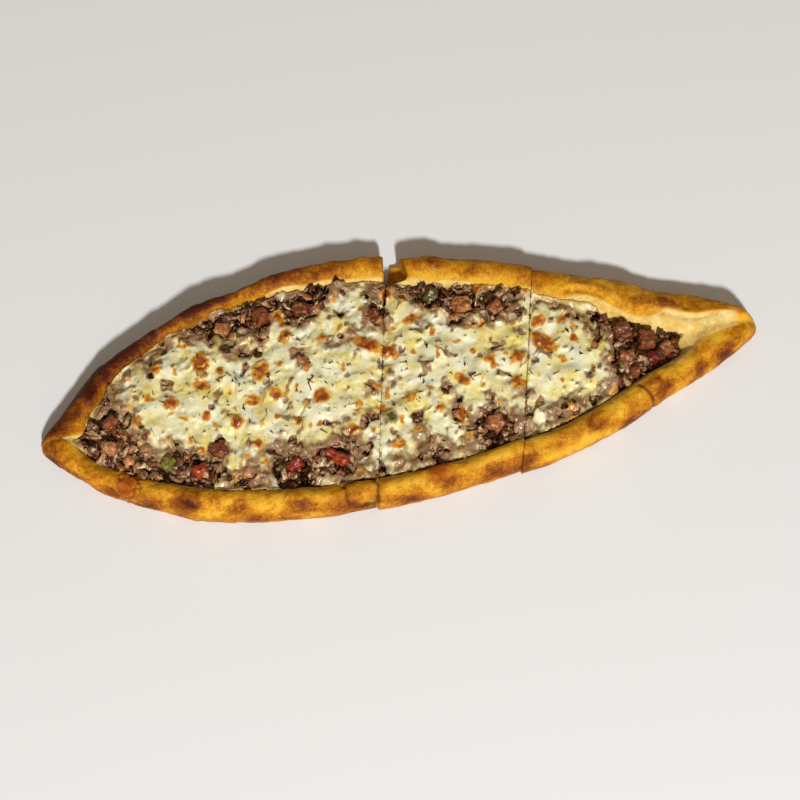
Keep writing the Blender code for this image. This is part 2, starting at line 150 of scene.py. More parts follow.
class Grain:
    """Seeded gradient noise in space, for relief and for uneven colour."""

    def __init__(self, seed: int) -> None:
        """Draws the slopes of the noise from the seed."""
        draw = np.random.default_rng(seed)
        self.order = draw.permutation(256)
        slopes = draw.normal(size=(256, 3))
        self.slopes = slopes / np.linalg.norm(slopes, axis=1, keepdims=True)

    def at(self, points: Array, size: float | tuple[float, float, float]) -> Array:
        """Noise from about -1 to 1 at some points.

        Args:
            points: Places in metres, one row each.
            size: Size of a lump in metres, or one size for each axis.

        Returns:
            One value for each point.
        """
        place = points / np.asarray(size)
        cell = np.floor(place).astype(np.int64)
        rest = place - cell
        blend = rest**3 * (rest * (rest * 6 - 15) + 10)
        total = np.zeros(len(points))
        for corner in np.ndindex(2, 2, 2):
            index = cell + corner
            row = self.order[index[:, 0] & 255]
            row = self.order[(row + index[:, 1]) & 255]
            row = self.order[(row + index[:, 2]) & 255]
            weight = np.where(corner, blend, 1 - blend).prod(axis=1)
            total += weight * ((rest - corner) * self.slopes[row]).sum(axis=1)
        return total * 1.7

    def cloud(self, points: Array, size: float, layers: int = 3, keep: float = 0.5) -> Array:
        """Layers of noise, each half the size of the one before and weaker by keep."""
        total = np.zeros(len(points))
        for layer in range(layers):
            total += self.at(points + 0.37 * layer, size / 2**layer) * keep**layer
        return total


# Meshes


def points_of(mesh: bpy.types.Mesh) -> Array:
    """Places of the mesh's points, one row each."""
    flat = np.empty(len(mesh.vertices) * 3, np.float32)
    mesh.vertices.foreach_get("co", flat)
    return flat.reshape(-1, 3).astype(float)


def normals_of(mesh: bpy.types.Mesh) -> Array:
    """Normals at the mesh's points, one row each."""
    flat = np.empty(len(mesh.vertices) * 3, np.float32)
    mesh.vertex_normals.foreach_get("vector", flat)
    return flat.reshape(-1, 3).astype(float)


def place_points(mesh: bpy.types.Mesh, points: Array) -> None:
    """Moves the mesh's points to new places."""
    mesh.vertices.foreach_set("co", points.astype(np.float32).ravel())
    mesh.update()


def store(mesh: bpy.types.Mesh, name: str, values: Array) -> None:
    """Keeps one number, or one colour, for each point under a name that a material reads."""
    kind, key = ("FLOAT", "value") if values.ndim == 1 else ("FLOAT_COLOR", "color")
    layer = mesh.attributes.get(name) or mesh.attributes.new(name, kind, "POINT")
    layer.data.foreach_set(key, values.astype(np.float32).ravel())


def add_piece(name: str, mesh: bpy.types.Mesh) -> bpy.types.Object:
    """Links a mesh to the scene as an object of that name."""
    piece = bpy.data.objects.new(name, mesh)
    bpy.context.scene.collection.objects.link(piece)
    return piece


def drop(piece: bpy.types.Object) -> None:
    """Removes a helper and its mesh."""
    mesh = piece.data
    bpy.data.objects.remove(piece, do_unlink=True)
    if mesh is not None and mesh.users == 0:
        bpy.data.meshes.remove(mesh)


def settled(piece: bpy.types.Object) -> bpy.types.Mesh:
    """Mesh of the piece with its modifiers worked out."""
    graph = bpy.context.evaluated_depsgraph_get()
    shown = piece.evaluated_get(graph)
    return bpy.data.meshes.new_from_object(shown, preserve_all_data_layers=True, depsgraph=graph)


def bake_modifiers(piece: bpy.types.Object) -> None:
    """Turns the piece into the plain mesh that its modifiers give."""
    mesh = settled(piece)
    piece.modifiers.clear()
    old = piece.data
    piece.data = mesh
    mesh.name = piece.name
    if old.users == 0:
        bpy.data.meshes.remove(old)


def joined_copy(name: str, sources: dict[str, tuple[float, float]]) -> bpy.types.Object:
    """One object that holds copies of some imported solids, each moved back by its own shift.

    Args:
        name: Name of the new object.
        sources: Shift along X and Y that is taken off, by the name of the solid.

    Returns:
        The object, with its doubles merged.
    """
    build = bmesh.new()
    for node, (shift_x, shift_y) in sources.items():
        start = len(build.verts)
        build.from_mesh(frame["nodes"][node].data)
        build.verts.ensure_lookup_table()
        for vert in build.verts[start:]:
            vert.co.x -= shift_x
            vert.co.y -= shift_y
    bmesh.ops.remove_doubles(build, verts=build.verts, dist=2e-6)
    mesh = bpy.data.meshes.new(name)
    build.to_mesh(mesh)
    build.free()
    return add_piece(name, mesh)


def remesh(piece: bpy.types.Object, cell: float) -> None:
    """Gives the piece an even closed skin with cells of the given size."""
    change = piece.modifiers.new("skin", "REMESH")
    change.mode = "VOXEL"
    change.voxel_size = cell
    change.use_smooth_shade = True
    bake_modifiers(piece)


def relax(mesh: bpy.types.Mesh, rounds: int, pull: float = 0.5) -> None:
    """Evens the mesh out by drawing each point towards the middle of its neighbours.

    Args:
        mesh: What is changed.
        rounds: How many times.
        pull: Share of the way that a point goes each time.
    """
    ends = np.empty(len(mesh.edges) * 2, np.int64)
    mesh.edges.foreach_get("vertices", ends)
    one, two = ends.reshape(-1, 2).T
    points = points_of(mesh)
    count = len(points)
    near = np.bincount(one, minlength=count) + np.bincount(two, minlength=count)
    near = np.maximum(near, 1)[:, None]
    for _ in range(rounds):
        total = np.empty_like(points)
        for axis in range(3):
            total[:, axis] = np.bincount(one, points[two, axis], count)
            total[:, axis] += np.bincount(two, points[one, axis], count)
        points += (total / near - points) * pull
    place_points(mesh, points)


def prism(name: str, corners: list[Point], low: float, high: float) -> bpy.types.Object:
    """Upright block over a polygon, for cutting.

    Args:
        name: Name of the object.
        corners: The polygon in plan.
        low: Height of its underside.
        high: Height of its top.

    Returns:
        The closed block.
    """
    count = len(corners)
    points = [(x, y, z) for z in (low, high) for x, y in corners]
    faces = [tuple(range(count)), tuple(range(count, 2 * count))]
    faces += [(i, (i + 1) % count, count + (i + 1) % count, count + i) for i in range(count)]
    mesh = bpy.data.meshes.new(name)
    mesh.from_pydata(points, [], faces)
    build = bmesh.new()
    build.from_mesh(mesh)
    bmesh.ops.recalc_face_normals(build, faces=build.faces)
    build.to_mesh(mesh)
    build.free()
    return add_piece(name, mesh)


def knife(corners: list[Point]) -> bpy.types.Object:
    """Cutting block over a polygon, from below the loaf to above it."""
    return prism("knife", corners, -10 * MM, 50 * MM)


def carve(piece: bpy.types.Object, cutter: bpy.types.Object, operation: str) -> None:
    """Cuts the piece with a closed block, which is removed afterwards."""
    change = piece.modifiers.new("cut", "BOOLEAN")
    change.operation = operation
    change.solver = "MANIFOLD"
    change.object = cutter
    bake_modifiers(piece)
    drop(cutter)


def tree_over(pieces: list[bpy.types.Object]) -> tuple[BVHTree, Array]:
    """Search tree over the faces of some pieces, and the piece number of each face."""
    points, faces, owner, start = [], [], [], 0
    for number, piece in enumerate(pieces):
        mesh = piece.data
        mesh.calc_loop_triangles()
        corners = np.empty(len(mesh.loop_triangles) * 3, np.int64)
        mesh.loop_triangles.foreach_get("vertices", corners)
        points.append(points_of(mesh))
        faces.append(corners.reshape(-1, 3) + start)
        owner.append(np.full(len(mesh.loop_triangles), number))
        start += len(mesh.vertices)
    corners = np.concatenate(faces).tolist()
    tree = BVHTree.FromPolygons(np.concatenate(points).tolist(), corners, all_triangles=True)
    return tree, np.concatenate(owner)


def keep_piece(piece: bpy.types.Object, stands_for: list[str]) -> None:
    """Hands a finished piece to the frame.

    Args:
        piece: The finished object.
        stands_for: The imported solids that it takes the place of.
    """
    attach(piece, "root")
    if stands_for:
        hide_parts(*stands_for)
    faces = sum(len(polygon.vertices) - 2 for polygon in piece.data.polygons)
    LOG.info("%s: %d triangles, stands for %s", piece.name, faces, ", ".join(stands_for) or "nothing")


# Materials


class Wire:
    """An output of a shader tree that takes part in sums."""

    def __init__(self, bench: "Bench", socket: bpy.types.NodeSocket) -> None:
        """Keeps the tree and the socket."""
        self.bench = bench
        self.socket = socket

    def join(self, operation: str, one: "Wire | float", two: "Wire | float") -> "Wire":
        """Adds the Math node for an operation on two values."""
        made = self.bench.node("ShaderNodeMath", {"operation": operation}, {0: one, 1: two})
        return Wire(self.bench, made.outputs[0])

    def __add__(self, other: "Wire | float") -> "Wire":
        """Sum."""
        return self.join("ADD", self, other)

    def __radd__(self, other: float) -> "Wire":
        """Sum, with the number first."""
        return self.join("ADD", other, self)

    def __sub__(self, other: "Wire | float") -> "Wire":
        """Difference."""
        return self.join("SUBTRACT", self, other)

    def __rsub__(self, other: float) -> "Wire":
        """Difference, with the number first."""
        return self.join("SUBTRACT", other, self)

    def __mul__(self, other: "Wire | float") -> "Wire":
        """Product."""
        return self.join("MULTIPLY", self, other)

    def __rmul__(self, other: float) -> "Wire":
        """Product, with the number first."""
        return self.join("MULTIPLY", other, self)

    def step(self, low: float, high: float) -> "Wire":
        """Smooth step from 0 at low to 1 at high."""
        made = self.bench.node(
            "ShaderNodeMapRange",
            {"interpolation_type": "SMOOTHSTEP"},
            {"Value": self, "From Min": low, "From Max": high},
        )
        return Wire(self.bench, made.outputs[0])


class Bench:
    """The shader tree of one material."""

    def __init__(self, name: str) -> None:
        """Starts the material with an empty tree."""
        self.material = bpy.data.materials.new(name)
        self.material.use_nodes = True
        self.tree = self.material.node_tree
        self.tree.nodes.clear()
        self.place = Wire(self, self.node("ShaderNodeTexCoord", {}, {}).outputs["Object"])

    def node(self, kind: str, settings: dict, inputs: dict) -> bpy.types.Node:
        """Adds a node.

        Args:
            kind: Type of the node.
            settings: Its properties, or for a ramp its stops.
            inputs: Values or wires, by the name or the number of the socket.

        Returns:
            The node.
        """
        made = self.tree.nodes.new(kind)
        for name, value in settings.items():
            if name == "stops":
                stops = made.color_ramp.elements
                while len(stops) < len(value):
                    stops.new(1.0)
                for stop, (position, colour) in zip(stops, value):
                    stop.position = position
                    stop.color = colour
            else:
                setattr(made, name, value)
        for socket, value in inputs.items():
            if isinstance(value, Wire):
                self.tree.links.new(value.socket, made.inputs[socket])
            else:
                made.inputs[socket].default_value = value
        return made

    def value(self, name: str) -> Wire:
        """A number that the mesh keeps for each point."""
        return Wire(self, self.node("ShaderNodeAttribute", {"attribute_name": name}, {}).outputs["Fac"])

    def colour(self, name: str) -> Wire:
        """A colour that the mesh keeps for each point."""
        return Wire(self, self.node("ShaderNodeAttribute", {"attribute_name": name}, {}).outputs["Color"])

    def noise(self, size: float, detail: float = 3.0, rough: float = 0.55, bend: float = 0.0) -> Wire:
        """Cloudy noise from 0 to 1.

        Args:
            size: Size of a lump in metres.
            detail: Layers of finer noise.
            rough: Strength of the finer layers.
            bend: How far the noise is bent by itself.

        Returns:
            The noise.
        """
        made = self.node(
            "ShaderNodeTexNoise",
            {},
            {
                "Vector": self.place, "Scale": 1 / size, "Detail": detail, "Roughness": rough,
                "Distortion": bend,
            },
        )
        return Wire(self, made.outputs["Fac"])

    def mix(self, share: "Wire | float", one: "Wire | Colour", two: "Wire | Colour") -> Wire:
        """Blend of two colours."""
        made = self.node("ShaderNodeMix", {"data_type": "RGBA"}, {0: share, 6: one, 7: two})
        return Wire(self, made.outputs[2])

    def ramp(self, share: Wire, *stops: tuple[float, Colour]) -> Wire:
        """Colour along a row of stops."""
        return Wire(self, self.node("ShaderNodeValToRGB", {"stops": stops}, {"Fac": share}).outputs[0])

    def bump(self, height: Wire, depth: float) -> Wire:
        """Normal of a fine relief whose depth is in metres."""
        made = self.node("ShaderNodeBump", {}, {"Height": height, "Distance": depth, "Strength": 1.0})
        return Wire(self, made.outputs[0])

    def finish(self, **sockets: "Wire | float | Colour") -> bpy.types.Material:
        """Adds the surface shader.

        Args:
            **sockets: Values or wires by the shader's socket, with _ for a space.

        Returns:
            The finished material.
        """
        inputs = {name.replace("_", " "): value for name, value in sockets.items()}
        shader = self.node("ShaderNodeBsdfPrincipled", {}, inputs)
        self.node("ShaderNodeOutputMaterial", {}, {"Surface": Wire(self, shader.outputs[0])})
        return self.material


@dataclass(frozen=True)
class CrustFinish:
    """Baked dough: golden to dark brown on the rim, cream on its inner slope and underneath."""

    gold: Colour = tone(224, 170, 44)
    amber: Colour = tone(190, 122, 12)
    brown: Colour = tone(138, 72, 6)
    dark: Colour = tone(72, 24, 2)
    cream: Colour = tone(236, 212, 138)
    butter: Colour = tone(212, 164, 64)
    pale: Colour = tone(184, 124, 54)
    oil: Colour = tone(154, 112, 34)
    stain: Colour = tone(158, 66, 10)
    crumb: Colour = tone(236, 214, 164)

    def rim(self) -> bpy.types.Material:
        """Skin of the loaf."""
        bench = Bench("baked_dough")
        patch = bench.noise(9 * MM, 4, 0.6, 0.4)
        mottle = bench.noise(2.6 * MM, 4, 0.65, 0.3)
        freckle = bench.noise(0.8 * MM, 3, 0.7)
        level = bench.value("bake") + (patch - 0.5) * 0.8 + (mottle - 0.5) * 0.75 + (freckle - 0.5) * 0.8
        skin = bench.ramp(level, (0.08, self.gold), (0.38, self.amber), (0.66, self.brown), (0.98, self.dark))
        soft = bench.ramp(patch * 0.5 + mottle * 0.5, (0.40, self.cream), (0.62, self.butter))
        white = (bench.value("cream") + (mottle - 0.5) * 0.8 + (patch - 0.5) * 0.7).step(0.25, 0.85)
        colour = bench.mix(white, skin, soft)
        under = (bench.value("pale") + (mottle - 0.5) * 0.7).step(0.35, 0.75)
        colour = bench.mix(under * 0.45, colour, self.pale)
        soaked = (bench.value("oil") + (mottle - 0.5) * 0.6 + (patch - 0.5) * 0.4).step(0.3, 0.9)
        colour = bench.mix(soaked * 0.7, colour, self.oil)
        juice = (bench.value("stain") + (mottle - 0.5) * 0.5).step(0.25, 0.7)
        colour = bench.mix(juice * 0.8, colour, self.stain)
        # Painted shade: the cracks, the pit and the torn patch's lip are darkened towards the dark tone, as
        # shade in these grooves
        colour = bench.mix(bench.value("crack"), colour, self.dark)
        grit = bench.noise(0.55 * MM, 3, 0.6)
        relief = bench.noise(1.7 * MM, 3, 0.6) * 0.6 + grit * 0.3
        return bench.finish(
            Base_Color=colour,
            Roughness=(0.50 + mottle * 0.26 - juice * 0.15),
            Normal=bench.bump(relief, 0.42 * MM),
            Coat_Weight=(0.22 - mottle * 0.3 - white * 0.2).step(0.1, 1.3),
            Coat_Roughness=0.42,
            Specular_IOR_Level=0.16,
            Subsurface_Weight=0.04,
            Subsurface_Radius=(1.0, 0.6, 0.3),
            Subsurface_Scale=1.2 * MM,
        )

    def inside(self) -> bpy.types.Material:
        """Crumb that shows where the knife went through."""
        bench = Bench("dough_crumb")
        holes = bench.noise(1.6 * MM, 3, 0.6, 0.2).step(0.40, 0.62)
        edge = bench.value("bake").step(0.2, 1.3)
        colour = bench.mix(holes, self.butter, self.crumb)
        colour = bench.mix(edge, colour, self.amber)
        return bench.finish(
            Base_Color=colour, Roughness=0.72, Normal=bench.bump(holes, 0.5 * MM), Subsurface_Weight=0.05,
            Subsurface_Radius=(1.0, 0.7, 0.4), Subsurface_Scale=1.2 * MM,
        )


@dataclass(frozen=True)
class MoistFinish:
    """A cooked, moist ingredient with its own run of tones."""

    name: str
    low: Colour
    middle: Colour
    high: Colour
    rough: float = 0.34
    lump: float = 1.6 * MM
    depth: float = 0.35 * MM
    clear: float = 0.06

    def material(self) -> bpy.types.Material:
        """The ingredient's material."""
        bench = Bench(self.name)
        cloud = bench.noise(self.lump, 4, 0.62, 0.3)
        fine = bench.noise(0.6 * MM, 3, 0.6)
        level = bench.value("tone") * 0.62 + (cloud - 0.5) * 1.1 + (fine - 0.5) * 0.35 + 0.19
        colour = bench.ramp(level, (0.12, self.low), (0.50, self.middle), (0.90, self.high))
        return bench.finish(
            Base_Color=colour,
            Roughness=(self.rough + (fine - 0.5) * 0.3),
            Normal=bench.bump(cloud * 0.7 + fine * 0.3, self.depth),
            Coat_Weight=0.24,
            Coat_Roughness=0.20,
            Subsurface_Weight=self.clear,
            Subsurface_Radius=(1.0, 0.45, 0.25),
            Subsurface_Scale=1.0 * MM,
        )


@dataclass(frozen=True)
class CheeseFinish:
    """Melted cheese: creamy where it is thick, a clear tinted film where thin, with toasted blisters."""

    white: Colour = tone(240, 238, 208)
    cream: Colour = tone(232, 214, 120)
    film: Colour = tone(200, 186, 136)
    olive: Colour = tone(146, 132, 58)
    rose: Colour = tone(186, 146, 122)
    honey: Colour = tone(224, 176, 74)
    orange: Colour = tone(202, 128, 30)
    char: Colour = tone(148, 72, 14)
    speck: Colour = tone(112, 98, 56)

    def material(self) -> bpy.types.Material:
        """The cheese's material."""
        bench = Bench("melted_cheese")
        cloud = bench.noise(5 * MM, 4, 0.6, 0.3)
        mottle = bench.noise(1.5 * MM, 4, 0.62, 0.2)
        fine = bench.noise(0.5 * MM, 2, 0.5)
        tide = bench.noise(13 * MM, 2, 0.5, 0.5)
        milky = tide * 0.6 + cloud * 0.4 + (mottle - 0.5) * 0.3
        body = bench.ramp(milky, (0.40, self.white), (0.61, self.cream))
        through = (bench.value("depth") + (mottle - 0.5) * 0.45 + (fine - 0.5) * 0.15).step(0.05, 0.75)
        juices = bench.noise(7 * MM, 3, 0.6, 0.4)
        tinted = bench.ramp(juices, (0.34, self.olive), (0.5, self.film), (0.66, self.rose))
        thin = bench.mix(mottle * 0.52, bench.colour("beneath"), tinted)
        colour = bench.mix(through, thin, body)
        dots = (bench.noise(1.15 * MM, 1, 0.4) + (cloud - 0.5) * 0.2).step(0.70, 0.78)
        colour = bench.mix(dots * 0.35, colour, self.speck)
        toast = bench.value("toast") + (mottle - 0.5) * 0.55 + (fine - 0.5) * 0.2
        burnt = bench.ramp(toast, (0.30, self.honey), (0.70, self.orange), (1.0, self.char))
        colour = bench.mix(toast.step(0.18, 0.52), colour, burnt)
        return bench.finish(
            Base_Color=colour,
            Roughness=(0.30 + mottle * 0.26),
            Normal=bench.bump(mottle * 0.6 + fine * 0.4, 0.16 * MM),
            Coat_Weight=0.30,
            Coat_Roughness=0.16,
            Subsurface_Weight=0.10,
            Subsurface_Radius=(1.0, 0.85, 0.5),
            Subsurface_Scale=1.5 * MM,
        )


# The knife's cuts


@dataclass(frozen=True)
class Cut:
    """One cut across the loaf: where it crosses y = 0, its lean along X for each metre of Y, and its gap."""

    x: float
    lean: float
    gap: float
    opens_from: float = 1.0
    opening: float = 0.0

    def at(self, y: Array | float, side: float = 0.0) -> Array | float:
        """Place along X of the cut at y, on its left side (-1), its middle (0) or its right side (1)."""
        parted = self.opening * np.maximum(np.asarray(y) - self.opens_from, 0.0) if side > 0 else 0.0
        return self.x + self.lean * y + side * self.gap / 2 + parted


# How far the knife reaches along Y, and a place past either end of the loaf
REACH = 0.11
BEYOND = 0.25
CUTS = (
    Cut(-0.0898, 0.1705, 0.0),
    Cut(-0.0109, 0.225, -0.0005, 0.036, 0.055),
    Cut(0.0689, 0.277, 0.0001),
)
# How far each slice was pushed along X and Y
SHIFTS = ((0.0, 0.0), (0.0, 0.0006), (0.0004, -0.0006), (0.0001, -0.0022))
# Plan of the strip and of the wedge that broke off the rim, and the ends of the crack in the near rim
STRIP = ((0.0780, 0.0600), (0.0925, 0.0560), (0.1000, 0.0205), (0.0700, 0.0275))
WEDGE = ((0.0445, -0.0490), (0.0620, -0.0470), (0.0560, -0.0760), (0.0478, -0.0760))
CRACK = ((0.1215, -0.0325), (0.1315, -0.0455))
# Space round the strip and round the wedge: x, y and reach
BROKEN_AT = ((0.088, 0.040, 0.030), (0.052, -0.060, 0.020))


def slice_corners(index: int) -> list[Point]:
    """Plan of the space that one slice takes between its cuts."""
    stops = (-REACH, CUTS[1].opens_from, REACH)
    left = [(-BEYOND if index == 0 else float(CUTS[index - 1].at(y, 1)), y) for y in stops]
    right = [(BEYOND if index == 3 else float(CUTS[index].at(y, -1)), y) for y in stops]
    return left + right[::-1]


def cut_distance(points: Array) -> Array:
    """How far each point is from the nearest cut, along X."""
    return np.min([np.abs(points[:, 0] - cut.at(points[:, 1])) for cut in CUTS], axis=0)


@dataclass
class Plan:
    """Edges, ridges and inner walls of the rim along the loaf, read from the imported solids."""

    x: Array
    edge: dict[Side, Array]
    ridge: dict[Side, Array]
    wall: dict[Side, Array]

    @classmethod
    def measure(cls, loaf: Array, heap: Array, step: float = 3 * MM) -> "Plan":
        """Reads the lines from dense points of the loaf and of the filling.

        Args:
            loaf: Points of the dough's skin.
            heap: Points of the filling.
            step: Length of loaf that each station takes in.

        Returns:
            The plan.
        """
        stations = np.arange(loaf[:, 0].min() + step / 2, loaf[:, 0].max(), step)
        lines = {key: {side: [] for side in Side} for key in ("edge", "ridge", "wall")}
        for x in stations:
            near = loaf[np.abs(loaf[:, 0] - x) < step * 0.75]
            inner = heap[np.abs(heap[:, 0] - x) < step * 0.75]
            middle = (near[:, 1].max() + near[:, 1].min()) / 2
            for side in Side:
                half = near[(near[:, 1] - middle) * side.value >= 0]
                lines["edge"][side].append(half[(half[:, 1] * side.value).argmax(), 1])
                lines["ridge"][side].append(half[half[:, 2] > half[:, 2].max() - 0.0004][:, 1].mean())
                reach = (inner[:, 1] * side.value).max() * side.value if len(inner) else np.nan
                lines["wall"][side].append(reach)
        for side in Side:
            middle = (np.array(lines["ridge"][Side.FAR]) + np.array(lines["ridge"][Side.NEAR])) / 2
            wall = np.array(lines["wall"][side])
            lines["wall"][side] = np.where(np.isnan(wall), middle, wall)
        window = np.ones(5) / 5
        for key, sides in lines.items():
            for side, line in sides.items():
                sides[side] = np.convolve(np.pad(np.array(line), 2, mode="edge"), window, mode="valid")
        return cls(stations, lines["edge"], lines["ridge"], lines["wall"])

    def share(self, points: Array) -> tuple[Array, Array]:
        """Where each point lies across the rim.

        Args:
            points: Places in metres.

        Returns:
            Side (1 far, -1 near, with a soft change between them), and the place across: 0 on the ridge,
            1 at the outer edge, -1 at the foot of the inner wall.
        """
        lines = {
            (key, side): np.interp(points[:, 0], self.x, getattr(self, key)[side])
            for key in ("edge", "ridge", "wall") for side in Side
        }
        middle = (lines["ridge", Side.FAR] + lines["ridge", Side.NEAR]) / 2
        far = points[:, 1] > middle
        edge, ridge, wall = (
            np.where(far, lines[key, Side.FAR], lines[key, Side.NEAR]) for key in ("edge", "ridge", "wall")
        )
        least = MM * np.where(far, 1, -1)
        out = (points[:, 1] - ridge) / np.where(np.abs(edge - ridge) < MM, least, edge - ridge)
        inn = (points[:, 1] - ridge) / np.where(np.abs(ridge - wall) < MM, least, ridge - wall)
        return np.tanh((points[:, 1] - middle) / (5 * MM)), np.clip(np.where(out > 0, out, inn), -2.0, 1.3)

    def depth(self, x: float, y: float) -> float:
        """How far a place lies from the nearer inner wall of the rim, along Y."""
        walls = [float(np.interp(x, self.x, self.wall[side])) for side in Side]
        return min(abs(y - wall) for wall in walls)

    def spot(self, side: Side, x: float, share: float = 0.0) -> Point:
        """Place in plan on one rim, at x and so far across: 0 on the ridge, 1 outer edge, -1 inner foot."""
        key = "edge" if share > 0 else "wall"
        ridge = float(np.interp(x, self.x, self.ridge[side]))
        reach = float(np.interp(x, self.x, getattr(self, key)[side]))
        return x, ridge + (reach - ridge) * abs(share)


@dataclass
class Loaf:
    """The dough: one baked shell with a rolled rim, parted by the knife."""

    finish: CrustFinish = field(default_factory=CrustFinish)
    cell: float = 0.85 * MM
    smoothing: int = 14
    blister: float = 1.15 * MM
    lump: float = 0.6 * MM
    wrinkle: float = 0.30 * MM
    pore: float = 0.085 * MM
    fold_depth: float = 1.5 * MM
    room_above: float = 0.45 * MM
    room_beside: float = 0.8 * MM
    pieces: list[bpy.types.Object] = field(default_factory=list)
    # Knobs of the rim: side, x, radius and height, in millimetres. Their tops brown first.
    knobs: tuple[tuple[Side, float, float, float], ...] = (
        (Side.FAR, -150, 9, 0.7), (Side.FAR, -105, 8, 0.7), (Side.FAR, -60, 10, 0.5),
        (Side.FAR, 30, 11, 0.5), (Side.FAR, 124, 9, 1.0), (Side.FAR, 150, 9, 1.1),
        (Side.FAR, 171, 7, 0.9), (Side.NEAR, -120, 10, 0.6), (Side.NEAR, -34, 6, 1.0),
        (Side.NEAR, 60, 10, 0.6), (Side.NEAR, 87, 9, 0.6), (Side.NEAR, 129, 6, 1.0),
    )
    # Rim stretches that the oven browned most: side, middle along x and half length in millimetres, strength
    scorched: tuple[tuple[Side, float, float, float], ...] = (
        (Side.FAR, -125, 50, 0.22), (Side.FAR, 50, 14, 0.12), (Side.NEAR, -105, 22, 0.08),
        (Side.NEAR, 172, 14, 0.25),
    )
    torn_at: tuple[Side, float] = (Side.NEAR, -152)
    stained_at: tuple[Side, float] = (Side.NEAR, 6)
    pit_at: tuple[Side, float] = (Side.FAR, 158)
    cracked_knob_at: tuple[Side, float] = (Side.NEAR, -34)

    def relief(self, points: Array, plan: Plan) -> Array:
        """How far the skin stands out at each point, in metres."""
        coarse, fine = Grain(11), Grain(12)
        side, share = plan.share(points)
        lifted = ease(points[:, 2], 0.6 * MM, 4 * MM)
        crown = ease(np.abs(share), 1.15, 0.35)
        bend = points + 0.004 * np.stack([coarse.at(points + k, 0.02) for k in (0.1, 0.2, 0.3)], axis=1)
        high = np.clip(coarse.at(bend, (0.017, 0.012, 0.014)) - 0.06, 0.0, 1.0) * 1.9
        rise = self.blister * high * (0.35 + 0.65 * crown)
        rise += self.lump * coarse.at(points + 0.5, 0.026)
        rise += self.wrinkle * fine.cloud(bend, 0.0052, 2)
        rise += self.pore * fine.at(points, 0.0017)
        for where, x, radius, height in self.knobs:
            rise += height * MM * dome(points, *plan.spot(where, x * MM), radius * MM)
        rise += self.fold(points, side, share)
        return rise * lifted + self.marks(points, plan) * lifted

    def fold(self, points: Array, side: Array, share: Array) -> Array:
        """The crease where the far rim's brown lobe hangs over its inner slope."""
        offset = share + 0.34 + waver(points[:, 0], 0.13, 0.10)
        zone = (side > 0) * ease(points[:, 0], 0.090, 0.104) * ease(points[:, 0], 0.178, 0.166)
        lobe = 0.75 * np.exp(-(((offset - 0.20) / 0.20) ** 2))
        crease = np.exp(-((offset / 0.13) ** 2))
        return zone * self.fold_depth * (lobe - crease)

    def crack_lines(self, points: Array, plan: Plan) -> Array:
        """Closeness, from 0 to 1, to the cracked knob's ring, the crack, the pit and the torn patch's lip."""
        warp = Grain(14)
        side, x = self.cracked_knob_at
        knob_x, knob_y = plan.spot(side, x * MM)
        across = points[:, 0] - knob_x + 1.3 * MM * warp.at(points, 0.005)
        along = points[:, 1] - knob_y + 1.1 * MM * warp.at(points + 0.3, 0.005)
        from_knob = ((across / (8.2 * MM)) ** 4 + (along / (6.4 * MM)) ** 4) ** 0.25
        ring = np.exp(-(((from_knob - 1) / 0.17) ** 2)) * (0.95 + 0.35 * warp.at(points + 0.6, 0.006))
        start, end = (np.array(corner) for corner in CRACK)
        way = (end - start) / np.linalg.norm(end - start)
        to_start = points[:, :2] - start
        on_line = np.clip(to_start @ way, 0.0, np.linalg.norm(end - start))
        gap = np.linalg.norm(to_start - on_line[:, None] * way, axis=1)
        line = np.exp(-((gap / (1.0 * MM)) ** 2))
        side, x = self.pit_at
        pit = dome(points, *plan.spot(side, x * MM), 1.5 * MM)
        side, x = self.torn_at
        torn_x, torn_y = plan.spot(side, x * MM)
        from_tear = np.hypot(points[:, 0] - torn_x, points[:, 1] - torn_y) / (6.0 * MM)
        from_tear += 0.4 * warp.at(points, 0.004)
        lip = 0.8 * np.exp(-(((from_tear - 1) / 0.14) ** 2))
        return np.clip(np.maximum.reduce([ring, line, pit, lip]), 0.0, 1.0)

    def torn(self, points: Array, plan: Plan) -> Array:
        """The patch where the near rim's skin is torn and the crumb shows through, from 0 to 1."""
        side, x = self.torn_at
        return dome(points, *plan.spot(side, x * MM), 6.5 * MM) * (1 + 0.5 * Grain(15).at(points, 0.004))

    def marks(self, points: Array, plan: Plan) -> Array:
        """Relief of the cracks and the torn patch."""
        rough = 1.3 * MM * Grain(13).cloud(points, 0.0026, 2) - 0.7 * MM
        return -1.2 * MM * self.crack_lines(points, plan) + self.torn(points, plan) * rough

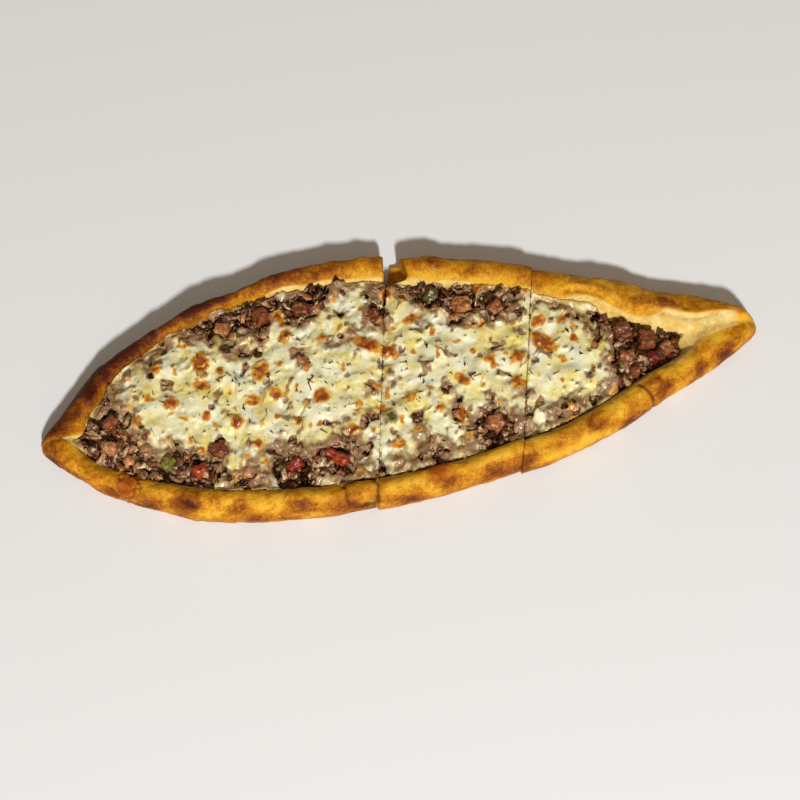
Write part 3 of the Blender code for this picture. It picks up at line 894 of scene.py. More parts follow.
    def colours(self, mesh: bpy.types.Mesh, plan: Plan) -> None:
        """Stores how browned, creamy, pale and stained the skin is, and where shade is painted into its
        cracks, pit and torn lip.
        """
        points, normals = points_of(mesh), normals_of(mesh)
        drift = Grain(21)
        side, share = plan.share(points)
        x, inner = points[:, 0], -share
        far = (side + 1) / 2
        left = ease(x, -0.05, -0.09)
        patch = drift.cloud(points, 0.022, 3, 0.6)
        bake = far * (0.34 + 0.14 * ease(x, 0.02, -0.03))
        bake += (1 - far) * (0.20 + 0.24 * ease(share, 0.10, 0.70))
        bake += 0.50 * (1 - far) * ease(share, 0.15, 0.6) * drift.at(points + 0.4, 0.015)
        bake += 0.36 * left * far + 0.24 * patch + 0.10 * ease(np.abs(x), 0.165, 0.190)
        bake -= 0.22 * ease(inner, 0.20, 0.70) + 0.16 * far * ease(x, 0.088, 0.110)
        bake += 0.10 * (1 - far) * (ease(x, -0.125, -0.145) + ease(x, 0.085, 0.105) * ease(x, 0.140, 0.120))
        for where, middle, half, strength in self.scorched:
            along = np.exp(-(((x / MM - middle) / half) ** 2)) * (far if where is Side.FAR else 1 - far)
            uneven = 0.6 + 1.1 * drift.at(points + middle, 0.010)
            bake += strength * along * uneven * ease(share, -0.7, -0.2)
        for where, middle, radius, height in self.knobs:
            ragged = 1 + 0.5 * drift.at(points + middle, 0.005)
            bake += 0.25 * height * dome(points, *plan.spot(where, middle * MM, 0.25), radius * MM) * ragged
        rise = self.relief(points, plan)
        bake += 0.14 * ease(rise, 0.2 * MM, 1.6 * MM)
        start = 0.60 - 0.04 * far + 0.42 * left * far + 0.14 * drift.at(points + 0.6, 0.012)
        right = 0.36 + waver(x, 0.10, 0.08)
        start += (right - start) * far * ease(x, 0.092, 0.100)
        start -= 0.30 * ease(x, 0.135, 0.150)
        cream = ease(inner, start, start + 0.28) * ease(x, -0.187, -0.180) * ease(x, 0.189, 0.178)
        pale = ease(share, 0.62, 0.98) * ease(points[:, 2], 9 * MM, 4 * MM) + ease(normals[:, 2], -0.2, -0.8)
        near_heap = ease(inner, 0.66, 1.0) * ease(x, 0.150, 0.140) * ease(x, -0.178, -0.168)
        oil = near_heap * (0.75 + 0.5 * drift.at(points + 0.3, 0.013))
        stain = 0.5 * near_heap * ease(drift.at(points + 0.7, 0.015), 0.1, 0.7)
        stained, stained_x = self.stained_at
        stain += 0.9 * dome(points, *plan.spot(stained, stained_x * MM, -0.55), 8 * MM)
        stain += 0.95 * self.torn(points, plan)
        store(mesh, "bake", np.clip(bake, 0, 1.4))
        store(mesh, "cream", cream)
        store(mesh, "pale", np.clip(pale, 0, 1))
        store(mesh, "oil", np.clip(oil, 0, 1))
        store(mesh, "stain", np.clip(stain, 0, 1))
        # Painted shade: darkness in the cracks, in the pit and under the torn patch's lip
        store(mesh, "crack", 0.85 * self.crack_lines(points, plan) ** 1.5)

    def bake_whole(self, heap: Array) -> tuple[bpy.types.Object, Plan]:
        """The uncut loaf, with its relief.

        Args:
            heap: Points of the filling, which show where the inner walls stand.

        Returns:
            The loaf, and the plan of its rim.
        """
        homes = {f"crust_{n + 1}": SHIFTS[n] for n in range(4)}
        homes.update({"crust_strip": SHIFTS[3], "crust_wedge": SHIFTS[2]})
        loaf = joined_copy("loaf", homes)
        remesh(loaf, self.cell)
        relax(loaf.data, self.smoothing)
        points = points_of(loaf.data)
        plan = Plan.measure(points, heap)
        points += normals_of(loaf.data) * self.relief(points, plan)[:, None]
        points[:, 2] = np.clip(points[:, 2], 0.0, CAD_BOX[1].z + self.room_above)
        for axis in (0, 1):
            low, high = CAD_BOX[0][axis] - self.room_beside, CAD_BOX[1][axis] + self.room_beside
            points[:, axis] = np.clip(points[:, axis], low, high)
        place_points(loaf.data, points)
        return loaf, plan

    def build(self, heap: Array) -> Plan:
        """Makes the slices' crusts and the two broken bits, and returns the rim's plan."""
        loaf, plan = self.bake_whole(heap)
        skin, crumb = self.finish.rim(), self.finish.inside()
        bits = {"crust_strip": (3, STRIP), "crust_wedge": (2, WEDGE)}
        whole = {f"crust_{n + 1}": (n, None) for n in range(4)}
        for name, (index, corners) in {**whole, **bits}.items():
            piece = add_piece(name + "_baked", loaf.data.copy())
            carve(piece, knife(slice_corners(index)), "INTERSECT")
            if corners:
                carve(piece, knife(list(corners)), "INTERSECT")
            for bit_index, bit in bits.values():
                if corners is None and bit_index == index:
                    carve(piece, knife(list(bit)), "DIFFERENCE")
            self.dress(piece, index, plan, skin, crumb)
            keep_piece(piece, [name])
            self.pieces.append(piece)
        drop(loaf)
        return plan

    def dress(
        self, piece: bpy.types.Object, index: int, plan: Plan, skin: bpy.types.Material,
        crumb: bpy.types.Material,
    ) -> None:
        """Colours one crust, gives its cut faces the crumb, and moves it to where its slice lies."""
        mesh = piece.data
        build = bmesh.new()
        build.from_mesh(mesh)
        upright, large = 0.02, 4e-6
        flat = [
            face for face in build.faces
            if len(face.verts) > 4 or abs(face.normal.z) < upright and face.calc_area() > large
        ]
        bmesh.ops.triangulate(build, faces=flat)
        build.to_mesh(mesh)
        build.free()
        self.colours(mesh, plan)
        mesh.materials.clear()
        mesh.materials.append(skin)
        mesh.materials.append(crumb)
        planes = [np.array([1.0, -cut.lean, 0.0]) / math.hypot(1.0, cut.lean) for cut in CUTS]
        widest = CUTS[1].lean + CUTS[1].opening
        planes.append(np.array([1.0, -widest, 0.0]) / math.hypot(1.0, widest))
        for corners in (STRIP, WEDGE):
            for (x1, y1), (x2, y2) in zip(corners, corners[1:] + corners[:1]):
                planes.append(np.array([y2 - y1, x1 - x2, 0.0]) / math.hypot(x2 - x1, y2 - y1))
        count = len(mesh.polygons)
        normals, centres = np.empty(count * 3, np.float32), np.empty(count * 3, np.float32)
        mesh.polygons.foreach_get("normal", normals)
        mesh.polygons.foreach_get("center", centres)
        normals, centres = normals.reshape(-1, 3), centres.reshape(-1, 3)
        facing = np.max([np.abs(normals @ plane) for plane in planes], axis=0) > 0.9999
        close = cut_distance(centres) < 6 * MM
        for x, y, reach in BROKEN_AT:
            close |= np.hypot(centres[:, 0] - x, centres[:, 1] - y) < reach
        cut = facing & close
        mesh.polygons.foreach_set("material_index", cut.astype(np.int32))
        mesh.polygons.foreach_set("use_smooth", ~cut)
        place_points(mesh, points_of(mesh) + np.array([*SHIFTS[index], 0.0]))


# What lies in the heap


class Strewing:
    """Geometry Nodes that strew a collection of bits over the heap's bed."""

    INPUTS = (
        ("Bits", "NodeSocketCollection"), ("Spacing", "NodeSocketFloat"), ("Density", "NodeSocketFloat"),
        ("Seed", "NodeSocketInt"), ("Smallest", "NodeSocketFloat"), ("Largest", "NodeSocketFloat"),
        ("Sunk", "NodeSocketFloat"), ("Raised", "NodeSocketFloat"), ("Tilt", "NodeSocketFloat"),
        ("Finish", "NodeSocketMaterial"),
    )

    def __init__(self, share_name: str) -> None:
        """Builds the tree.

        Args:
            share_name: Attribute of the bed that says how many of the bits lie at each place.
        """
        self.tree = bpy.data.node_groups.new("strew_" + share_name, "GeometryNodeTree")
        self.tree.is_modifier = True
        face = self.tree.interface
        face.new_socket("Bed", in_out="INPUT", socket_type="NodeSocketGeometry")
        self.names = {
            name: face.new_socket(name, in_out="INPUT", socket_type=kind) for name, kind in self.INPUTS
        }
        face.new_socket("Heap", in_out="OUTPUT", socket_type="NodeSocketGeometry")
        self.given = self.add("NodeGroupInput", {}, {})
        self.wire(share_name)

    def add(self, kind: str, settings: dict, inputs: dict) -> bpy.types.Node:
        """Adds a node with its settings, and then its values and links by socket name or number."""
        made = self.tree.nodes.new(kind)
        for name, value in settings.items():
            setattr(made, name, value)
        for socket, value in inputs.items():
            if isinstance(value, bpy.types.NodeSocket):
                self.tree.links.new(value, made.inputs[socket])
            else:
                made.inputs[socket].default_value = value
        return made

    def drawn(self, seed: int, low: object, high: object, vector: bool = False) -> bpy.types.NodeSocket:
        """A random number, or a random vector, of each bit's own."""
        first, kind = (0, "FLOAT_VECTOR") if vector else (2, "FLOAT")
        inputs = {first: low, first + 1: high, "Seed": seed}
        return self.add("FunctionNodeRandomValue", {"data_type": kind}, inputs).outputs[first // 2]

    def wire(self, share_name: str) -> None:
        """Places the points, turns and sizes the bits, and makes them one mesh."""
        given = self.given.outputs
        share = self.add("GeometryNodeInputNamedAttribute", {"data_type": "FLOAT"}, {"Name": share_name})
        spread = self.add(
            "GeometryNodeDistributePointsOnFaces",
            {"distribute_method": "POISSON"},
            {
                "Mesh": given["Bed"], "Distance Min": given["Spacing"], "Density Max": given["Density"],
                "Density Factor": share.outputs[0], "Seed": given["Seed"],
            },
        )
        lean = self.add("ShaderNodeMath", {"operation": "MULTIPLY"}, {0: given["Tilt"], 1: -1.0})
        low = self.add("ShaderNodeCombineXYZ", {}, {0: lean.outputs[0], 1: lean.outputs[0], 2: 0.0})
        high = self.add("ShaderNodeCombineXYZ", {}, {0: given["Tilt"], 1: given["Tilt"], 2: 2 * math.pi})
        turn = self.drawn(3, low.outputs[0], high.outputs[0], vector=True)
        rotation = self.add("FunctionNodeEulerToRotation", {}, {0: turn})
        size = self.drawn(5, given["Smallest"], given["Largest"])
        uneven = self.drawn(7, (0.62,) * 3, (1.35,) * 3, vector=True)
        scale = self.add("ShaderNodeVectorMath", {"operation": "SCALE"}, {0: uneven, "Scale": size})
        shelf = {"Collection": given["Bits"], "Separate Children": True, "Reset Children": True}
        source = self.add("GeometryNodeCollectionInfo", {}, shelf)
        offset = self.add("ShaderNodeCombineXYZ", {}, {2: self.drawn(9, given["Sunk"], given["Raised"])})
        lifted = {"Geometry": spread.outputs["Points"], "Offset": offset.outputs[0]}
        raised = self.add("GeometryNodeSetPosition", {}, lifted)
        laid = self.add(
            "GeometryNodeInstanceOnPoints",
            {},
            {
                "Points": raised.outputs[0], "Instance": source.outputs[0], "Pick Instance": True,
                "Rotation": rotation.outputs[0], "Scale": scale.outputs[0],
            },
        )
        toned = self.add(
            "GeometryNodeStoreNamedAttribute",
            {"data_type": "FLOAT", "domain": "INSTANCE"},
            {"Geometry": laid.outputs[0], "Name": "tone", "Value": self.drawn(13, 0.0, 1.0)},
        )
        real = self.add("GeometryNodeRealizeInstances", {}, {"Geometry": toned.outputs[0]})
        finished = {"Geometry": real.outputs[0], "Material": given["Finish"]}
        dressed = self.add("GeometryNodeSetMaterial", {}, finished)
        self.add("NodeGroupOutput", {}, {0: dressed.outputs[0]})

    def strew(self, name: str, bed: bpy.types.Object, values: dict) -> bpy.types.Object:
        """Strews the bits over the bed.

        Args:
            name: Name of the piece.
            bed: Object whose faces the bits lie on.
            values: What goes into the tree's inputs, by name.

        Returns:
            The bits as one plain mesh.
        """
        helper = add_piece(name + "_bed", bed.data)
        change = helper.modifiers.new("strew", "NODES")
        change.node_group = self.tree
        for key, value in values.items():
            change[self.names[key].identifier] = value
        mesh = settled(helper)
        helper.modifiers.clear()
        bpy.data.objects.remove(helper, do_unlink=True)
        mesh.name = name
        mesh.shade_smooth()
        return add_piece(name, mesh)


@dataclass(frozen=True)
class Bit:
    """A kind of strewn bit: its shape, size, number and finish."""

    kind: Kind
    finish: MoistFinish
    spacing: float
    density: float
    seed: int
    smallest: float
    largest: float
    shape: tuple[float, float, float] = (1.0, 1.0, 1.0)
    ragged: float = 0.14
    curl: float = 0.0
    sunk: float = -0.3 * MM
    raised: float = 0.9 * MM
    tilt: float = 3.1
    variants: int = 6

    def shapes(self) -> bpy.types.Collection:
        """A few uneven bits, each of a few dozen faces, about one unit across."""
        shelf = bpy.data.collections.new(self.kind.value + "_shapes")
        draw = np.random.default_rng(self.seed)
        for number in range(self.variants):
            build = bmesh.new()
            bmesh.ops.create_cube(build, size=1.0)
            bmesh.ops.subdivide_edges(build, edges=build.edges, cuts=1, use_grid_fill=True)
            points = np.array([vert.co for vert in build.verts])
            roundness = np.linalg.norm(points, axis=1, keepdims=True)
            points = points * (1 - 0.22 * (roundness - 0.5))
            points *= np.array(self.shape) * draw.uniform(0.85, 1.15, 3)
            points += draw.normal(0.0, self.ragged, points.shape) * np.array(self.shape) * 0.5
            points[:, 2] += self.curl * (points[:, 0] ** 2 - 0.1) * draw.uniform(0.4, 1.2)
            for vert, point in zip(build.verts, points):
                vert.co = point
            mesh = bpy.data.meshes.new(f"{self.kind.value}_shape_{number}")
            build.to_mesh(mesh)
            build.free()
            shelf.objects.link(bpy.data.objects.new(mesh.name, mesh))
        return shelf


MINCE = MoistFinish("minced_meat", tone(48, 20, 5), tone(120, 70, 36), tone(212, 170, 128), depth=0.5 * MM)
DICED = MoistFinish(
    "diced_meat", tone(58, 20, 6), tone(132, 66, 28), tone(206, 142, 86), lump=2.8 * MM, depth=0.7 * MM,
    clear=0.02,
)
ONION = MoistFinish("cooked_onion", tone(132, 100, 56), tone(184, 158, 108), tone(222, 208, 168), clear=0.15)
GREEN = MoistFinish("green_pepper", tone(48, 46, 8), tone(96, 90, 22), tone(146, 142, 60), clear=0.08)
RED = MoistFinish(
    "red_tomato", tone(64, 8, 3), tone(134, 30, 12), tone(190, 86, 36), rough=0.28, depth=0.6 * MM,
    clear=0.05,
)
BED = MoistFinish(
    "filling_bed", tone(34, 12, 3), tone(78, 38, 12), tone(122, 82, 34), rough=0.30, depth=0.8 * MM
)

BITS = (
    Bit(Kind.MINCE, MINCE, 1.9 * MM, 230000, 31, 2.2 * MM, 7.2 * MM, (1.0, 0.74, 0.50), 0.55),
    Bit(
        Kind.MEAT, DICED, 4.2 * MM, 34000, 32, 3.4 * MM, 6.0 * MM, (1.0, 0.85, 0.8), 0.20,
        sunk=-0.2 * MM, raised=2.2 * MM,
    ),
    Bit(
        Kind.ONION, ONION, 3.4 * MM, 42000, 33, 3.4 * MM, 6.6 * MM, (1.0, 0.55, 0.26), 0.16,
        curl=0.5, sunk=0.3 * MM, raised=1.9 * MM, tilt=0.7,
    ),
    Bit(
        Kind.PEPPER, GREEN, 5.6 * MM, 16000, 34, 3.4 * MM, 6.2 * MM, (1.0, 0.62, 0.30), 0.12,
        curl=0.4, sunk=0.4 * MM, raised=2.0 * MM, tilt=0.7,
    ),
    Bit(
        Kind.TOMATO, RED, 6.0 * MM, 12000, 35, 2.8 * MM, 5.2 * MM, (1.0, 0.60, 0.42), 0.14,
        curl=0.3, sunk=0.2 * MM, raised=1.8 * MM, tilt=0.7,
    ),
)

# Tone of what shows through thin cheese
UNDER = {
    Kind.MINCE: tone(132, 84, 48)[:3],
    Kind.MEAT: tone(134, 68, 34)[:3],
    Kind.ONION: tone(200, 184, 140)[:3],
    Kind.PEPPER: tone(112, 110, 40)[:3],
    Kind.TOMATO: tone(150, 50, 26)[:3],
    Kind.BED: tone(84, 44, 20)[:3],
    Kind.CRUST: tone(196, 158, 82)[:3],
}


@dataclass
class Heap:
    """The filling: a moist bed, strewn bits and the largest diced pieces."""

    cell: float = 1.1 * MM
    lowered: float = 1.3 * MM
    topping_cell: float = 0.5 * MM
    # Where red bits lie thickest: x, y and how much thicker
    red_spots: tuple[tuple[float, float, float], ...] = ((-0.053, -0.046, 0.8), (-0.110, -0.038, 0.6))
    red_reach: float = 10 * MM
    pieces: list[bpy.types.Object] = field(default_factory=list)
    kinds: list[Kind] = field(default_factory=list)

    def lay_bed(self) -> list[bpy.types.Object]:
        """The bed of each slice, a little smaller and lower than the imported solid."""
        beds = []
        lumps = Grain(41)
        material = BED.material()
        for number in range(1, 5):
            bed = joined_copy(f"filling_{number}_bed", {f"filling_{number}": (0.0, 0.0)})
            remesh(bed, self.cell)
            relax(bed.data, 6)
            points = points_of(bed.data)
            relief = 1.3 * MM * lumps.cloud(points, 0.0085, 3, 0.6)
            top = ease(points[:, 2], 7 * MM, 12 * MM)
            points[:, 2] += top * (relief - self.lowered)
            place_points(bed.data, points)
            store(bed.data, "tone", 0.5 + 0.5 * lumps.at(points + 0.2, 0.008))
            bed.data.materials.clear()
            bed.data.materials.append(material)
            beds.append(bed)
        return beds

    def whole_bed(self, beds: list[bpy.types.Object]) -> bpy.types.Object:
        """One helper that holds the tops of all the beds, with how much of each kind lies where."""
        build = bmesh.new()
        for bed in beds:
            build.from_mesh(bed.data)
        steep, foot = 0.35, 9 * MM
        low = [face for face in build.faces if face.normal.z < steep or face.calc_center_median().z < foot]
        bmesh.ops.delete(build, geom=low, context="FACES")
        mesh = bpy.data.meshes.new("whole_bed")
        build.to_mesh(mesh)
        build.free()
        points = points_of(mesh)
        drift = Grain(42)
        for number, bit in enumerate(BITS):
            share = 0.62 + 0.55 * drift.at(points + number * 0.71, 0.016)
            if bit.kind is Kind.MINCE:
                share = share + 0.4
            if bit.kind is Kind.TOMATO:
                share = share * 0.7
                for x, y, strength in self.red_spots:
                    share = share + strength * dome(points, x, y, self.red_reach)
            store(mesh, bit.kind.value, np.clip(share, 0.04, 1.0))
        return add_piece("whole_bed", mesh)

    def strew_bits(self, bed: bpy.types.Object) -> None:
        """Strews every kind of bit over the bed."""
        for bit in BITS:
            shelf = bit.shapes()
            values = {
                "Bits": shelf, "Spacing": bit.spacing, "Density": bit.density, "Seed": bit.seed,
                "Smallest": bit.smallest, "Largest": bit.largest, "Sunk": bit.sunk, "Raised": bit.raised,
                "Tilt": bit.tilt, "Finish": bit.finish.material(),
            }
            piece = Strewing(bit.kind.value).strew(f"strewn_{bit.kind.value}", bed, values)
            points = points_of(piece.data)
            points[:, 2] = under_top(points[:, 2])
            place_points(piece.data, points)
            self.pieces.append(piece)
            self.kinds.append(bit.kind)
            for shape in list(shelf.objects):
                drop(shape)
            bpy.data.collections.remove(shelf)

    def cut_toppings(self) -> None:
        """The largest diced pieces, one object for each kind."""
        rough = Grain(43)
        draw = np.random.default_rng(44)
        for kind, finish in ((Kind.MEAT, DICED), (Kind.TOMATO, RED), (Kind.PEPPER, GREEN)):
            names = sorted(name for name in frame["nodes"] if name.startswith(kind.value + "_"))
            parts = []
            for name in names:
                part = joined_copy(name + "_cut", {name: (0.0, 0.0)})
                remesh(part, self.topping_cell)
                relax(part.data, 4)
                points, normals = points_of(part.data), normals_of(part.data)
                push = 0.75 * MM * rough.cloud(points, 0.0034, 3, 0.65)
                points += normals * push[:, None]
                points += 0.8 * MM * np.stack([rough.at(points + k, 0.006) for k in (0.1, 0.2, 0.3)], axis=1)
                place_points(part.data, points)
                store(part.data, "tone", np.full(len(points), draw.uniform(0.15, 0.85)))
                parts.append(part)
            build = bmesh.new()
            for part in parts:
                build.from_mesh(part.data)
            mesh = bpy.data.meshes.new(f"large_{kind.value}")
            build.to_mesh(mesh)
            build.free()
            for part in parts:
                drop(part)
            mesh.materials.append(finish.material())
            mesh.shade_smooth()
            piece = add_piece(mesh.name, mesh)
            self.pieces.append(piece)
            self.kinds.append(kind)
            keep_piece(piece, names)

    def build(self) -> Array:
        """Makes the whole heap and returns the points of its beds."""
        beds = self.lay_bed()
        dense = np.concatenate([points_of(bed.data) for bed in beds])
        whole = self.whole_bed(beds)
        self.strew_bits(whole)
        drop(whole)
        for piece, kind in zip(self.pieces, self.kinds):
            slot = {Kind.MINCE: "meat", Kind.ONION: "filling"}.get(kind, kind.value)
            keep_piece(piece, [])
        self.cut_toppings()
        for number, bed in enumerate(beds, 1):
            keep_piece(bed, [f"filling_{number}"])
            self.pieces.append(bed)
            self.kinds.append(Kind.BED)
        return dense


@dataclass
class Cheese:
    """The melted cheese: one sheet for each slice, draped on the heap."""

    finish: CheeseFinish = field(default_factory=CheeseFinish)
    cell: float = 0.55 * MM
    film: float = 0.25 * MM
    body: float = 1.5 * MM
    thickness: float = 0.7 * MM
    # Middle of the cheese along X
    middle_x: float = -16 * MM
    # How far round a large piece the cheese has slid off, in the middle of the loaf and by the rim's wall
    poke_through: float = 4.5 * MM
    slid_off: float = 11.5 * MM
    # How far below the bits the sheet is drawn where it has slid off, and how high a blister stands
    drawn_under: float = 3.4 * MM
    blister_height: float = 0.55 * MM
    # How deep the knife's groove is at the cut of each slice
    grooves: tuple[float, float, float, float] = (0.25 * MM, 0.35 * MM, 0.8 * MM, 0.8 * MM)
    blister_room: float = 8.5 * MM
    blister_sizes: tuple[float, float] = (1.5 * MM, 4.6 * MM)
    # Large blisters beside a large piece: the piece, the way from it along X and Y, and the radius, in mm
    large_blisters: tuple[tuple[str, float, float, float], ...] = (
        ("meat_5", 35, 4, 4.6), ("meat_5", 6, -21, 4.4), ("meat_7", -15, -19, 4.4),
        ("meat_9", 21, -26, 5.0), ("meat_10", -20, 31, 3.4), ("meat_6", 11, -14, 3.4),
        ("meat_9", 21, -13, 3.4), ("pepper_1", -14, -13, 3.0),
    )

    def cover(self, points: Array, inside: Array, plan: Plan) -> Array:
        """How much cheese lies at each point, from about -1 to 1.5."""
        drift = Grain(51)
        amount = 0.76 + 0.45 * (inside - 1.0)
        amount += 0.62 * drift.at(points, 0.014) + 0.34 * drift.cloud(points + 0.4, 0.0062, 3, 0.5)
        for number in range(1, 5):
            low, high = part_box(f"cheese_{number}")
            middle, size = (low + high) / 2, high - low
            across = (points[:, 0] - middle.x) / (0.34 * size.x)
            along = (points[:, 1] - middle.y) / (0.30 * size.y)
            amount += 0.42 * np.exp(-(across**2 + along**2))
        bare = np.zeros(len(points))
        for name in self.large_pieces():
            low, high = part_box(name)
            middle = (low + high) / 2
            by_wall = float(ease(np.array(plan.depth(middle.x, middle.y)), 27 * MM, 9 * MM))
            radius = self.poke_through + (self.slid_off - self.poke_through) * by_wall
            bare = np.maximum(bare, dome(points, middle.x, middle.y, radius) * (0.65 + 0.5 * by_wall))
        holes = ease(drift.cloud(points + 0.8, 0.0095, 2, 0.5), 0.40, 0.70)
        along = points[:, 0] - self.middle_x
        ends = 0.7 * ease(along, 0.128, 0.152) + 0.26 * ease(-along, 0.120, 0.150)
        return amount - 1.2 * bare * (1 + 0.6 * drift.at(points + 0.8, 0.006)) - 0.85 * holes - ends

    @staticmethod
    def large_pieces() -> list[str]:
        """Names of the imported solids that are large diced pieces, in a fixed order."""
        return sorted(name for name in frame["nodes"] if name.split("_")[0] in ("meat", "tomato", "pepper"))

    def blisters(self) -> list[tuple[float, float, float]]:
        """Place and radius of each toasted blister: the large ones, then many small ones that keep apart."""
        found = []
        for name, x, y, radius in self.large_blisters:
            low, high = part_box(name)
            found.append(((low.x + high.x) / 2 + x * MM, (low.y + high.y) / 2 + y * MM, radius * MM))
        draw = np.random.default_rng(54)
        low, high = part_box("cheese_1")[0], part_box("cheese_4")[1]
        bottom = min(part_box(f"cheese_{number}")[0].y for number in range(1, 5))
        top = max(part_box(f"cheese_{number}")[1].y for number in range(1, 5))
        smallest, largest = self.blister_sizes
        for _ in range(900):
            x, y = draw.uniform(low.x, high.x), draw.uniform(bottom, top)
            radius = smallest + (largest - smallest) * draw.uniform() ** 2.4
            if all(math.hypot(x - a, y - b) > self.blister_room + radius for a, b, _size in found):
                found.append((x, y, radius))
        return found

    def toast(self, points: Array, height: Array) -> Array:
        """How toasted the cheese is at each point, from 0 to about 1.2."""
        drift = Grain(52)
        ragged = 1 + 0.5 * drift.cloud(points, 0.0030, 2)
        bent = points + 1.4 * MM * np.stack([drift.at(points + k, 0.004) for k in (0.3, 0.5, 0.0)], axis=1)
        draw = np.random.default_rng(55)
        amount = np.zeros(len(points))
        for x, y, radius in self.blisters():
            turn, long = draw.uniform(0, math.pi), draw.uniform(1.0, 1.7)
            across, along = bent[:, 0] - x, bent[:, 1] - y
            one = (across * math.cos(turn) + along * math.sin(turn)) / long
            two = along * math.cos(turn) - across * math.sin(turn)
            spot = np.exp(-((np.hypot(one, two) / radius) ** 3))
            strength = 0.70 + 0.45 * ease(np.array(radius), 1.5 * MM, 4.5 * MM)
            amount = np.maximum(amount, strength * spot * ragged)
        chance = ease(drift.at(points + 0.9, 0.0062), 0.42, 0.75) * ease(height, 0.0, 0.8 * MM)
        return np.maximum(amount, 0.55 * chance)

    def grid(self, index: int, box: tuple[Vector, Vector]) -> Array:
        """Points of a slice's sheet in plan, in rows that run from cut to cut."""
        low, high = box
        y = np.arange(low.y - 5 * MM, high.y + 5 * MM, self.cell)
        left = np.full_like(y, low.x - 4 * MM) if index == 0 else CUTS[index - 1].at(y, 1)
        right = np.full_like(y, high.x + 6 * MM) if index == 3 else CUTS[index].at(y, -1)
        columns = int(np.ceil((right - left).max() / self.cell)) + 1
        share = np.linspace(0.0, 1.0, columns)
        x = left[:, None] + (right - left)[:, None] * share[None, :]
        moved_x, moved_y = SHIFTS[index]
        across = np.broadcast_to(y[:, None], x.shape) + moved_y
        return np.stack([x + moved_x, across, np.zeros_like(x)], axis=-1)

    @staticmethod
    def blur(values: Array, cells: float) -> Array:
        """Soft blur of a grid by about that many cells."""
        reach = int(np.ceil(cells * 2.5))
        weight = np.exp(-0.5 * (np.arange(-reach, reach + 1) / cells) ** 2)
        weight /= weight.sum()
        for axis in (0, 1):
            padded = np.pad(values, [(reach, reach) if a == axis else (0, 0) for a in (0, 1)], mode="edge")
            length = values.shape[axis]
            values = sum(
                share * np.take(padded, np.arange(k, k + length), axis=axis) for k, share in enumerate(weight)
            )
        return values

    @staticmethod
    def spread_up(values: Array, reach: int) -> Array:
        """Highest value of a grid within so many cells."""
        for axis in (0, 1):
            padded = np.pad(values, [(reach, reach) if a == axis else (0, 0) for a in (0, 1)], mode="edge")
            length = values.shape[axis]
            rows = [np.take(padded, np.arange(k, k + length), axis=axis) for k in range(2 * reach + 1)]
            values = np.max(rows, axis=0)
        return values

    def feel(self, tree: BVHTree, owner: Array, places: Array) -> tuple[Array, Array]:
        """Height and owner of what lies under each place, or NaN and -1 where nothing does."""
        height, kind = np.full(len(places), np.nan), np.full(len(places), -1)
        down = Vector((0.0, 0.0, -1.0))
        for number, (x, y, _) in enumerate(places):
            spot, _normal, face, _distance = tree.ray_cast(Vector((x, y, 0.05)), down)
            if spot is not None:
                height[number], kind[number] = spot.z, owner[face]
        return height, kind

    def sheet(
        self, index: int, heap: Heap, plan: Plan, tree: BVHTree, owner: Array, material: bpy.types.Material
    ) -> None:
        """Drapes one slice's sheet.

        Args:
            index: Number of the slice, from 0.
            heap: What lies beneath, whose kinds tint thin cheese.
            plan: Where the rim's inner walls stand.
            tree: Search tree over the heap.
            owner: Piece number of each face in the tree.
            material: The cheese's material.
        """
        name = f"cheese_{index + 1}"
        grid = self.grid(index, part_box(f"filling_{index + 1}"))
        rows, columns = grid.shape[:2]
        flat = grid.reshape(-1, 3)
        height, kind = self.feel(tree, owner, flat)
        present = ~np.isnan(height).reshape(rows, columns)
        level = np.nanmedian(height)
        height = np.where(np.isnan(height), level - 2 * MM, height).reshape(rows, columns)
        mask, _ = tree_over([frame["nodes"][name]])
        down = Vector((0, 0, -1))
        inside = np.array([mask.ray_cast(Vector((x, y, 0.05)), down)[0] is not None for x, y, _ in flat])
        inside = self.blur(self.spread_up(inside.astype(float).reshape(rows, columns), 3), 5)
        amount = self.cover(flat, inside.ravel(), plan).reshape(rows, columns)
        amount -= 1.6 * ease(plan.share(flat)[1], -0.96, -0.55).reshape(rows, columns)
        near = self.blur(self.spread_up(height, 1), 1.0)
        broad = self.blur(self.spread_up(self.blur(height, 1.0), 2), 4.5)
        amount -= 0.40 * ease(near - self.blur(near, 6), 0.6 * MM, 1.8 * MM)
        share = ease(amount, 0.12, 1.20)
        lumps = Grain(53)
        top = (1 - share) * (near + self.film) + share * (broad * 0.88 + near * 0.12 + self.film)
        lumpy = 0.26 * MM * lumps.cloud(flat, 0.0075, 3, 0.5).reshape(rows, columns)
        top += share * self.body * 0.35 + lumpy * (0.4 + share)
        toasted = self.toast(flat, (near - self.blur(height, 8)).ravel()).reshape(rows, columns)
        toasted *= ease(amount, 0.02, 0.25)
        top += self.blister_height * np.clip(toasted, 0, 1)
        bare = ease(amount, 0.02, -0.16)
        top = under_top(top) - bare * self.drawn_under
        present &= bare < 0.999
        gap = cut_distance(flat - np.array([*SHIFTS[index], 0.0])).reshape(rows, columns)
        top -= self.grooves[index] * np.exp(-((gap / (0.8 * MM)) ** 2))
        beneath = np.array([UNDER[heap.kinds[k]] if k >= 0 else UNDER[Kind.BED] for k in kind])
        shown = np.stack([self.blur(beneath[:, c].reshape(rows, columns), 0.8) for c in range(3)], axis=-1)
        opaque = np.ones((rows, columns, 1))
        layers = {"depth": share, "toast": toasted, "beneath": np.concatenate([shown, opaque], axis=-1)}
        self.close(name, flat, top, present, material, layers)

